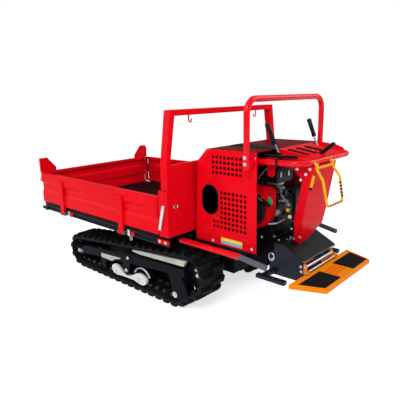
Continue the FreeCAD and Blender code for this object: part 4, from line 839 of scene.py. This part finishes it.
bolts = Form()
for x, y, z in (
    (-0.144, 0.327, 0.458), (-0.418, 0.327, 0.464), (-0.43, 0.327, 0.955),
    (HOOP_X, HOOP_Y + 0.0155, 0.965), (HOOP_X, HOOP_Y + 0.0155, 0.933),
):
    bolts.bolt((x, y, z), SIDE, 0.0065)
    bolts.bolt((x, -y, z), -SIDE, 0.0065)
for x, z in ((-0.578, 0.893), (-0.65, 0.898), (-0.628, 0.87), (-0.6, 0.838)):
    bolts.bolt((x, 0.155, z), SIDE, 0.0062)
bolts.make("bolts_rear", zinc, bevel=0.0004)
for name, finish, low_z, high_z in (
    ("blank_sticker_upper", pale_yellow, 0.4715, 0.4895), ("blank_sticker_lower", pale_blue, 0.4535, 0.4715),
):
    outline = [(-0.206, low_z), (-0.355, low_z), (-0.355, high_z), (-0.206, high_z)]
    sticker = Form().plate(outline, 0.327, 0.0006)
    sticker.make(name, finish, bevel=0.0003, segments=1)


# Fan housing with its recoil starter and a blank badge

FAN = Vector((-0.29, 0.0, 0.64))
FAN_BACK = 0.0966
SPOKE_Y = 0.168

fan = Form()
fan.lathe(
    FAN, SIDE,
    [(FAN_BACK, 0.1245), (0.1, 0.1275), (0.13, 0.1275), (0.138, 0.1235), (0.1405, 0.108),
     (0.144, 0.1035), (0.152, 0.102), (0.156, 0.099), (0.156, 0.093), (0.15, 0.09)],
    64,
)
corner = ((-0.1275, 0.0), (-0.1275, 0.11), (-0.105, 0.128), (0.0, 0.1275))
fan.slab([FAN + Vector((x, FAN_BACK, z)) for x, z in corner], SIDE * 0.034)
fan.make("fan_housing", red, ["fan_shroud"], bevel=0.0012)
starter = Form()
starter.lathe(
    FAN, SIDE, [(0.148, 0.101), (0.16, 0.099), (0.172, 0.086), (0.1775, 0.064), (0.172, 0.06)], 48
)
starter.lathe(FAN, SIDE, [(0.16, 0.026), (0.177, 0.026), (0.1795, 0.022), (0.18, 0.008)], 32)
for angle in angles(16):
    out = Vector((math.cos(angle), 0, math.sin(angle)))
    across = Vector((-out.z, 0, out.x)) * 0.0028
    inner, outer = FAN + out * 0.024 + SIDE * SPOKE_Y, FAN + out * 0.058 + SIDE * SPOKE_Y
    starter.slab([inner - across, inner + across, outer + across, outer - across], SIDE * 0.0075)
starter.make("recoil_starter", black_plastic, bevel=0.0008)
for k, angle in enumerate(angles(4, 0.5)):
    spot = FAN + Vector((0.096 * math.cos(angle), 0.156, 0.096 * math.sin(angle)))
    Form().bolt(spot, SIDE, 0.0042, washer=False).make("fan_screw_%d" % k, zinc)
badge_at = FAN + Vector((-0.118, 0.1405, 0.056))
badge_out = Vector((-0.3, 0.95, 0.0)).normalized()
badge_side = badge_out.cross(UP)
oval = [
    badge_at + badge_side * (0.0125 * math.cos(a) + 0.007 * math.sin(a)) + UP * (0.0235 * math.sin(a))
    for a in angles(32)
]
Form().slab(oval, badge_out * 0.004).make("blank_oval_badge", green, bevel=0.0008)
grip_line = [
    (-0.33, 0.181, 0.722), (-0.345, 0.184, 0.718), (-0.385, 0.186, 0.701), (-0.425, 0.186, 0.683),
    (-0.438, 0.185, 0.677),
]
Form().sweep(grip_line, [0.007, 0.0115, 0.0105, 0.0115, 0.007], 16).make("starter_grip", black_plastic)
clip_line = [(-0.368, 0.1975, 0.716), (-0.392, 0.198, 0.704)]
Form().sweep(clip_line, 0.0034, 10).make("starter_grip_clip", zinc)


# Engine: fins, carburettor, air cleaner, linkage and pipes

CARBURETTOR_AXIS = (0.94, 0, 0.33)
FILLER_AXIS = (-0.8, 0.2, 0.55)

fins = Form()
for k in range(12):
    z = 0.556 + 0.0115 * k
    fins.box((-0.4005, -0.106, z), (-0.3, 0.05, z + 0.0035))
fins.make("cooling_fins", dark_cast, bevel=0.0008)
metal = Form()
# Place, axis, sides and profile
for place, axis, sides, profile in (
    ((-0.432, 0.052, 0.749), CARBURETTOR_AXIS, 28,
     [(0.0, 0.012), (0.001, 0.0165), (0.008, 0.0165), (0.01, 0.0135), (0.03, 0.0135), (0.032, 0.0185),
      (0.044, 0.0185), (0.046, 0.014), (0.078, 0.014)]),
    ((-0.414, 0.052, 0.742), -UP, 28,
     [(0.0, 0.014), (0.004, 0.0175), (0.016, 0.0165), (0.021, 0.01), (0.025, 0.005)]),
    ((-0.446, 0.06, 0.688), SIDE, 18, [(-0.006, 0.006), (0.008, 0.008), (0.011, 0.008), (0.013, 0.004)]),
    ((-0.478, 0.06, 0.664), SIDE, 18, [(-0.004, 0.006), (0.007, 0.007), (0.01, 0.004)]),
    ((-0.39, 0.06, 0.606), (-0.35, 0.9, 0.1), 28,
     [(-0.03, 0.024), (0.004, 0.024), (0.01, 0.018), (0.012, 0.009), (0.02, 0.008)]),
):
    metal.lathe(place, axis, profile, sides)
metal.box((-0.418, 0.02, 0.772), (-0.344, 0.084, 0.7855))
metal.plate([(-0.404, 0.731), (-0.418, 0.733), (-0.484, 0.668), (-0.474, 0.66)], 0.058, 0.004)
metal.plate([(-0.412, 0.676), (-0.414, 0.686), (-0.47, 0.697), (-0.478, 0.69)], 0.064, 0.004)
metal.sweep([(-0.444, 0.05, 0.69), (-0.452, 0.045, 0.668), (-0.444, 0.04, 0.64)], 0.0034, 10)
drain_line = [(-0.393, 0.135, 0.556), (-0.432, 0.105, 0.56), (-0.444, 0.05, 0.573)]
metal.sweep(rounded(drain_line, 0.02), 0.0062, 12)
metal.make("carburettor_parts", alloy, bevel=0.0008)
lines = Form()
lines.rod((-0.43, 0.12, 0.535), (-0.508, 0.1, 0.59), 0.0042, 12)
lines.rod((-0.418, 0.12, 0.515), (-0.51, 0.1, 0.572), 0.0042, 12)
lines.make("fuel_lines", dark_cast)
dipstick = [(0.0, 0.011), (0.006, 0.012), (0.01, 0.01), (0.012, 0.005)]
Form().lathe((-0.479, 0.052, 0.594), (-0.75, 0.45, 0.3), dipstick, 24).make("dipstick_cap", silver_paint)
deck_bolts = Form()
deck_bolts.bolt((-0.36, 0.1505, 0.476), SIDE, 0.0062)
deck_bolts.bolt((-0.496, 0.1, 0.4735), UP, 0.006)
deck_bolts.rod((-0.512, 0.098, 0.478), (-0.52, 0.098, 0.5), 0.0052, 14)
deck_bolts.make("deck_bolts", zinc, bevel=0.0003)
eye_line = [(-0.448 + 0.018 * math.cos(a), 0.181, 0.388 + 0.022 * math.sin(a)) for a in angles(24)]
Form().sweep(eye_line, 0.0042, 10, closed=True).make("towing_eye", zinc)
inner_guard = Form().box((-0.165, 0.29, 0.4445), (-0.04, 0.2935, 0.8))
for k in range(5):
    z = 0.5 + 0.06 * k
    inner_guard.box((-0.158, 0.2935, z), (-0.048, 0.296, z + 0.02))
inner_guard.make("inner_guard", red, bevel=0.001)
throttle_ends = [(-0.33, 0.14, 0.82), (-0.376, 0.14, 0.872)]
throttle = Form().rod(*throttle_ends, 0.0045, 14)
for end in throttle_ends:
    throttle.lathe(end, SIDE, [(-0.016, 0.0045), (-0.014, 0.0085), (0.004, 0.0085), (0.006, 0.005)], 18)
throttle.make("throttle_rod", chrome)
case = Form().lathe(
    (-0.392, 0.0, 0.53), -FORE,
    [(-0.004, 0.066), (0.006, 0.066), (0.012, 0.058), (0.014, 0.03), (0.022, 0.028), (0.024, 0.016)],
    40,
)
for angle in angles(6):
    case.bolt((-0.3985, 0.055 * math.cos(angle), 0.53 + 0.055 * math.sin(angle)), -FORE, 0.005)
for depth, outline in (
    (0.012, ((-0.118, 0.455), (0.096, 0.455), (0.096, 0.47), (-0.118, 0.47))),
    (0.01, ((-0.11, 0.6), (0.09, 0.6), (0.075, 0.64), (-0.09, 0.64))),
):
    case.slab([(-0.392, y, z) for y, z in outline], -FORE * depth)
case.make("crankcase_cover", dark_cast, bevel=0.0014)
neck = [(-0.01, 0.009), (0.03, 0.009), (0.032, 0.013), (0.038, 0.013), (0.04, 0.01)]
Form().lathe((-0.44, 0.052, 0.612), FILLER_AXIS, neck, 20).make("oil_filler_neck", black_plastic)
oil_cap = [(0.0, 0.0125), (0.01, 0.0125), (0.013, 0.008), (0.02, 0.007)]
Form().lathe((-0.465, 0.0582, 0.629), FILLER_AXIS, oil_cap, 20).make("oil_cap", yellow)
plug = Form().lathe((-0.4, -0.03, 0.596), -FORE, [(0.0, 0.009), (0.01, 0.009), (0.014, 0.006)], 18)
plug.bolt((-0.4, 0.085, 0.468), -FORE, 0.0075)
plug.bolt((-0.4, -0.1, 0.468), -FORE, 0.0075)
plug.make("drain_plugs", zinc)
cleaner = Form()
cleaner.box((-0.437, -0.044, 0.832), (-0.301, 0.124, 0.838))
for k in range(5):
    z = 0.842 + 0.0052 * k
    cleaner.box((-0.438, -0.02, z), (-0.435, 0.1, z + 0.0026))
knob = [(0.0, 0.02), (0.006, 0.02), (0.01, 0.016), (0.016, 0.015), (0.018, 0.011)]
cleaner.lathe((-0.369, 0.04, 0.87), UP, knob, 24)
cleaner.make("air_cleaner_lid", black_plastic, bevel=0.001)
clips = Form()
for y in (0.0, 0.08):
    clips.box((-0.44, y, 0.822), (-0.4372, y + 0.012, 0.846))
    clips.rod((-0.44, y + 0.006, 0.846), (-0.4372, y + 0.006, 0.846), 0.006, 14)
clips.make("air_cleaner_clips", zinc, bevel=0.0005)
tank_cap = Form()
tank_cap.lathe(
    (-0.2, -0.03, 0.909), UP,
    [(0.0, 0.034), (0.008, 0.034), (0.011, 0.031), (0.02, 0.03), (0.023, 0.026)],
    36,
)
for angle in angles(14):
    x, y = -0.2 + 0.031 * math.cos(angle), -0.03 + 0.031 * math.sin(angle)
    tank_cap.rod((x, y, 0.913), (x, y, 0.93), 0.003, 8)
tank_cap.make("tank_cap", black_plastic)
Form().box((-0.294, -0.132, 0.852), (-0.104, 0.082, 0.857)).make("tank_seam", red, bevel=0.001)
muffler_guard = Form()
for k in range(9):
    x = -0.386 + 0.0215 * k
    muffler_guard.box((x, -0.2825, 0.566), (x + 0.01, -0.2805, 0.696))
    muffler_guard.box((x, -0.272, 0.7005), (x + 0.01, -0.138, 0.703))
for k in range(7):
    y = -0.268 + 0.02 * k
    muffler_guard.box((-0.407, y, 0.59), (-0.4045, y + 0.01, 0.676))
muffler_guard.make("muffler_guard", worn_steel, bevel=0.0006)

# Rigid pipes, each fixed to the engine at both ends
pipes = Form()
for bend, radius, pipe_line in (
    (0.02, 0.0048,
     [(-0.385, 0.075, 0.775), (-0.425, 0.07, 0.735), (-0.415, 0.06, 0.69), (-0.395, 0.04, 0.65)]),
    (0.025, 0.0052,
     [(-0.3, -0.06, 0.8), (-0.41, -0.085, 0.795), (-0.432, -0.09, 0.7), (-0.4, -0.08, 0.66)]),
):
    pipes.sweep(rounded(pipe_line, bend), radius, 10)
pipes.make("fuel_pipes", black_plastic)


# Console column, tapering to its foot, with the gusset that carries the shelf

COLUMN_LEVELS = [
    # front and rear distance ahead, near and far y, height
    (-0.626, -0.668, 0.155, -0.1, 0.9137),
    (-0.567, -0.619, 0.155, -0.1, 0.62),
    (-0.549, -0.603, 0.118, -0.1, 0.553),
    (-0.518, -0.556, 0.072, 0.0, 0.455),
]
column = Form()
column.loft([
    column.ring([(front, near, z), (rear, near, z), (rear, far, z), (front, far, z)])
    for front, rear, near, far, z in COLUMN_LEVELS
])
gusset = [(-0.539, 0.9), (-0.539, 0.946), (-0.63, 0.946), (-0.632, 0.905), (-0.606, 0.84)]
column.plate(gusset, 0.151, 0.004)
column.make("tapered_column", red, ["console_column"], bevel=0.0022, segments=3)
foot_bolts = Form()
for place in [(-0.574, 0.1, 0.5075), (-0.531, 0.088, 0.4855)]:
    foot_bolts.bolt(place, (0.15, 1, -0.4), 0.0058)
foot_bolts.make("column_foot_bolts", zinc, bevel=0.0004)
strip_line = [(-0.545, 0.149, 0.893), (-0.596, 0.149, 0.843), (-0.604, 0.149, 0.8)]
Form().sweep(rounded(strip_line, 0.02), 0.005, 10).make("gusset_edge_strip", rubber)


# Rear box: trim, blank plate with a red rim, carrying rod between orange ears

trim_line = [
    (-0.64, 0.4128), (-0.6535, 0.4062), (-0.6535, 0.394), (-0.6515, 0.394), (-0.6515, 0.4045),
    (-0.64, 0.4105),
]
Form().plate(trim_line, -0.179, 0.358).make("cover_trim", chrome, bevel=0.0004)


def cover_plate(name, finish, front, rear, near, far, lift):
    """A thin sheet that follows the slope of the box's cover."""
    corners = []
    for x, y in ((front, near), (rear, near), (rear, far), (front, far)):
        along = (0.52 + x) / (0.52 - 0.651)
        corners.append((x - 0.45 * lift, y, 0.472 - 0.067 * along + lift))
    Form().slab(corners, UP * 0.0016).make(name, finish, bevel=0.0004)


cover_plate("plate_rim", red, -0.525, -0.592, 0.158, -0.06, 0.0003)
cover_plate("blank_cover_plate", navy, -0.531, -0.586, 0.15, -0.052, 0.0015)
EAR_LINE = [
    (-0.6475, 0.338), (-0.6475, 0.392), (-0.66, 0.394), (-0.6685, 0.386), (-0.6685, 0.368), (-0.66, 0.338),
]
ears = Form().plate(EAR_LINE, 0.172, 0.006).plate(EAR_LINE, -0.122, 0.006)
ears.plate([(-0.6475, 0.345), (-0.6475, 0.361), (-0.6505, 0.361), (-0.6505, 0.345)], -0.116, 0.1)
ears.make("rod_ears", orange, bevel=0.0012)
carrier = Form().rod((-0.66, 0.181, 0.3785), (-0.66, -0.125, 0.3785), 0.0068, 20)
carrier.make("carrying_rod", zinc)
box_bolts = Form()
for x, z in ((-0.63, 0.372), (-0.634, 0.346), (-0.452, 0.372)):
    box_bolts.bolt((x, 0.1752, z), SIDE, 0.0056)
box_bolts.bolt((-0.63, -0.1752, 0.372), -SIDE, 0.0056)
for y in (0.14, -0.14):
    box_bolts.bolt((-0.468, y, 0.478), UP, 0.005)
box_bolts.make("box_bolts", zinc, bevel=0.0003)


# Step: ribbed pads and raised collars round the drain holes

treads = Form()
for side in (-1, 1):
    for k in range(9):
        x = -0.697 - 0.0128 * k
        edge = 0.33 + (0.262 - 0.33) * (-0.652 - x) / 0.174
        rib = [(x, 0.3318), (x - 0.0062, 0.3318), (x - 0.0052, 0.3345), (x - 0.001, 0.3345)]
        treads.side_plate(side, rib, 0.08, edge - 0.02)
treads.make("pad_ribs", rubber, body="step")
collars = Form()
COLLAR_RINGS = [
    # half length, half width and height
    (0.0092, 0.0135, 0.33), (0.0092, 0.0135, 0.3324), (0.0068, 0.0108, 0.3324), (0.0068, 0.0108, 0.33),
]
for x in (-0.721, -0.747, -0.773):
    for y in (-0.051, -0.017, 0.017, 0.051):
        collars.loft([
            collars.ring([(x + long * math.cos(a), y + wide * math.sin(a), z) for a in angles(20)])
            for long, wide, z in COLLAR_RINGS
        ], closed=True)
collars.make("drain_collars", orange, body="step")
roll_line = [
    (-0.657, 0.322, 0.3305), (-0.8215, 0.2565, 0.3305), (-0.8215, -0.2565, 0.3305), (-0.657, -0.322, 0.3305)
]
Form().sweep(rounded(roll_line, 0.012, 4), 0.0045, 10).make("step_edge_roll", orange, body="step")


# Covers of the slide rails and the curved scraper above the bogie

RAIL_COVER = [
    (0.474, 0.276), (0.474, 0.286), (0.39, 0.296), (-0.028, 0.33), (-0.006, 0.292), (0.39, 0.272),
]
FRONT_COVER = [
    (0.829, 0.154), (0.827, 0.184), (0.7, 0.192), (0.6, 0.199), (0.6, 0.192), (0.66, 0.176),
    (0.703, 0.152),
]
SCRAPER_RADIUS = 0.085
SCRAPER_LINE = arc_points(0.385, 0.094, SCRAPER_RADIUS, 25, 155, 10)
SCRAPER_LINE += arc_points(0.385, 0.094, SCRAPER_RADIUS * 0.955, 155, 25, 10)
for side, label in SIDES:
    covers = Form().side_plate(side, RAIL_COVER, 0.418, 0.4405).side_plate(side, FRONT_COVER, 0.4284, 0.45)
    covers.make("slide_covers_" + label, cream, ["slide_rails"] if side == 1 else (), bevel=0.0012)
    scraper = Form().plate(SCRAPER_LINE, side * 0.432, side * 0.012)
    scraper.make("bogie_scraper_" + label, silver_paint, bevel=0.0008)


# Bed: hinge bosses, pins and lips along the sills

SILL_Y = 0.5302
for side, label in SIDES:
    bosses = Form()
    pins = Form()
    for x in (0.33, 1.03):
        boss = [(0.0, 0.015), (0.01, 0.015), (0.013, 0.0125)]
        bosses.lathe((x, side * 0.53, 0.4515), side * SIDE, boss, 28)
        pins.plate([(x + 0.03, 0.432), (x + 0.05, 0.432), (x + 0.054, 0.47), (x + 0.026, 0.47)],
                   side * SILL_Y, side * 0.008)
        pin_line = [
            (x + d, side * 0.536, z)
            for d, z in ((0.012, 0.4365), (0.01, 0.412), (0.024, 0.404), (0.03, 0.418), (0.026, 0.436))
        ]
        pins.sweep(rounded(pin_line, 0.008, 4), 0.0022, 8)
    corner = [(0.004, 0.447), (0.092, 0.447), (0.098, 0.474), (0.004, 0.474)]
    bosses.plate(corner, side * SILL_Y, side * 0.012)
    bosses.make("sill_bosses_" + label, red, body="bed", bevel=0.0012)
    for x in (0.026, 0.074):
        pins.bolt((x, side * 0.5422, 0.461), side * SIDE, 0.0062)
    pins.make("sill_pins_" + label, zinc, body="bed", bevel=0.0003)
    lips = Form().side_box(side, (0.004, 0.5285, 0.434), (1.42, 0.5345, 0.4405))
    lips.side_box(side, (0.1, 0.5285, 0.4665), (1.42, 0.5345, 0.4715))
    lips.make("sill_lips_" + label, blue_black, body="bed", bevel=0.0008)


# Seals behind the gates' gaps, gate bolts, rings and catches

GATE_INSIDE = 0.514
GATE_FACE = 0.5402


def small_ring(side, x, middle, wide, height, high, radius):
    """A wire ring that stands across the machine on one side."""
    line = [(x, side * (middle + wide * math.cos(a)), height + high * math.sin(a)) for a in angles(24)]
    return Form().sweep(line, radius, 8, closed=True)


for side, label in SIDES:
    gate_body = "side_gate_%s_body" % label
    seals = Form()
    for low_x, high_x, low_z, high_z in (
        (0.0745, 1.418, 0.4925, 0.501), (0.0705, 0.092, 0.4925, 0.719), (1.408, 1.419, 0.4925, 0.719),
    ):
        seals.side_box(side, (low_x, GATE_INSIDE - 0.0045, low_z), (high_x, GATE_INSIDE - 0.0015, high_z))
    seals.make("bed_seals_" + label, rubber, body="bed", bevel=0.0006)
    end_seal = Form()
    end_seal.side_box(side, (1.42, GATE_INSIDE - 0.001, 0.5), (1.4288, GATE_INSIDE + 0.001, 0.719))
    end_seal.make("gate_end_seal_" + label, rubber, body=gate_body, bevel=0.0004)
    fittings = Form()
    for z in (0.664, 0.441):
        fittings.bolt((1.4435, side * 0.5303, z), side * SIDE, 0.0062)
    fittings.make("front_gate_bolts_" + label, zinc, body="front_gate_body", bevel=0.0003)
    ear_ring = small_ring(side, 1.4435, 0.5375, 0.0125, 0.795, 0.014, 0.0022)
    ear_ring.make("ear_ring_" + label, zinc, body="front_gate_body")
    wall_ring = small_ring(side, -0.004, 0.479, 0.015, 0.668, 0.011, 0.0024)
    wall_ring.box((-0.0035, side * 0.464 - 0.004, 0.662), (0.0005, side * 0.464 + 0.004, 0.674))
    wall_ring.make("wall_ring_" + label, zinc, body="bed")
    catch = Form().side_box(side, (0.083, GATE_FACE, 0.588), (0.096, 0.5452, 0.692))
    catch.side_box(side, (0.102, GATE_FACE, 0.6), (0.124, 0.543, 0.7))
    catch.make("gate_catch_" + label, red, body=gate_body, bevel=0.0012)


# Floor, light and background

FLOOR_REACH = 14.0
FLOOR_GLOW = 0.66
SKY_LIGHT = 0.42


def join(tree, *links):
    """Link nodes, given as (node, output, node, input)."""
    for source, output, target, entry in links:
        tree.links.new(source.outputs[output], target.inputs[entry])


def add_stage():
    paper = bpy.data.materials.new("paper")
    paper.use_nodes = True
    tree = paper.node_tree
    shader = tree.nodes["Principled BSDF"]
    shader.inputs["Base Color"].default_value = (0.93, 0.93, 0.93, 1.0)
    shader.inputs["Roughness"].default_value = 0.9
    out = tree.nodes["Material Output"]
    bright = tree.nodes.new("ShaderNodeEmission")
    bright.inputs["Strength"].default_value = FLOOR_GLOW
    both = tree.nodes.new("ShaderNodeAddShader")
    mix = tree.nodes.new("ShaderNodeMixShader")
    path = tree.nodes.new("ShaderNodeLightPath")
    seen = tree.nodes.new("ShaderNodeMath")
    seen_all = tree.nodes.new("ShaderNodeMath")
    for total in (seen, seen_all):
        total.operation = "ADD"
        total.use_clamp = True
    join(
        tree,
        (path, "Is Camera Ray", seen, 0), (path, "Is Glossy Ray", seen, 1), (seen, 0, seen_all, 0),
        (path, "Is Transmission Ray", seen_all, 1), (shader, 0, both, 0), (bright, 0, both, 1),
        (seen_all, 0, mix, 0), (shader, 0, mix, 1), (both, 0, mix, 2), (mix, 0, out, "Surface"),
    )
    mesh = bpy.data.meshes.new("floor")
    corners = [(x * FLOOR_REACH, y * FLOOR_REACH, 0) for x, y in ((-1, -1), (1, -1), (1, 1), (-1, 1))]
    mesh.from_pydata(corners, [], [(0, 1, 2, 3)])
    floor = bpy.data.objects.new("floor", mesh)
    floor.data.materials.append(paper)
    scene.collection.objects.link(floor)


def add_world():
    world = bpy.data.worlds.new("Studio")
    scene.world = world
    world.use_nodes = True
    tree = world.node_tree
    tree.nodes.clear()
    out = tree.nodes.new("ShaderNodeOutputWorld")
    soft = tree.nodes.new("ShaderNodeBackground")
    white = tree.nodes.new("ShaderNodeBackground")
    for background, strength in ((soft, SKY_LIGHT), (white, 1.0)):
        background.inputs["Color"].default_value = (1, 1, 1, 1)
        background.inputs["Strength"].default_value = strength
    path = tree.nodes.new("ShaderNodeLightPath")
    mix = tree.nodes.new("ShaderNodeMixShader")
    seen = tree.nodes.new("ShaderNodeMath")
    seen.operation = "MAXIMUM"
    join(
        tree,
        (path, "Is Camera Ray", seen, 0), (path, "Is Transmission Ray", seen, 1), (seen, 0, mix, 0),
        (soft, 0, mix, 1), (white, 0, mix, 2), (mix, 0, out, "Surface"),
    )


def add_lamp(name, place, target, energy, size):
    data = bpy.data.lights.new(name, "AREA")
    data.energy = energy
    data.size = size
    lamp = bpy.data.objects.new(name, data)
    lamp.location = place
    lamp.rotation_euler = (Vector(target) - Vector(place)).to_track_quat("-Z", "Y").to_euler()
    scene.collection.objects.link(lamp)


add_stage()
add_world()
add_lamp("key", (-2.2, 3.4, 3.6), (0, 0, 0.5), 150, 2.4)
add_lamp("side", (3.4, 2.4, 2.4), (0, 0, 0.5), 60, 2.6)
add_lamp("back", (-2.6, -2.8, 3.0), (0, 0, 0.6), 70, 2.6)
scene.view_settings.view_transform = "Standard"
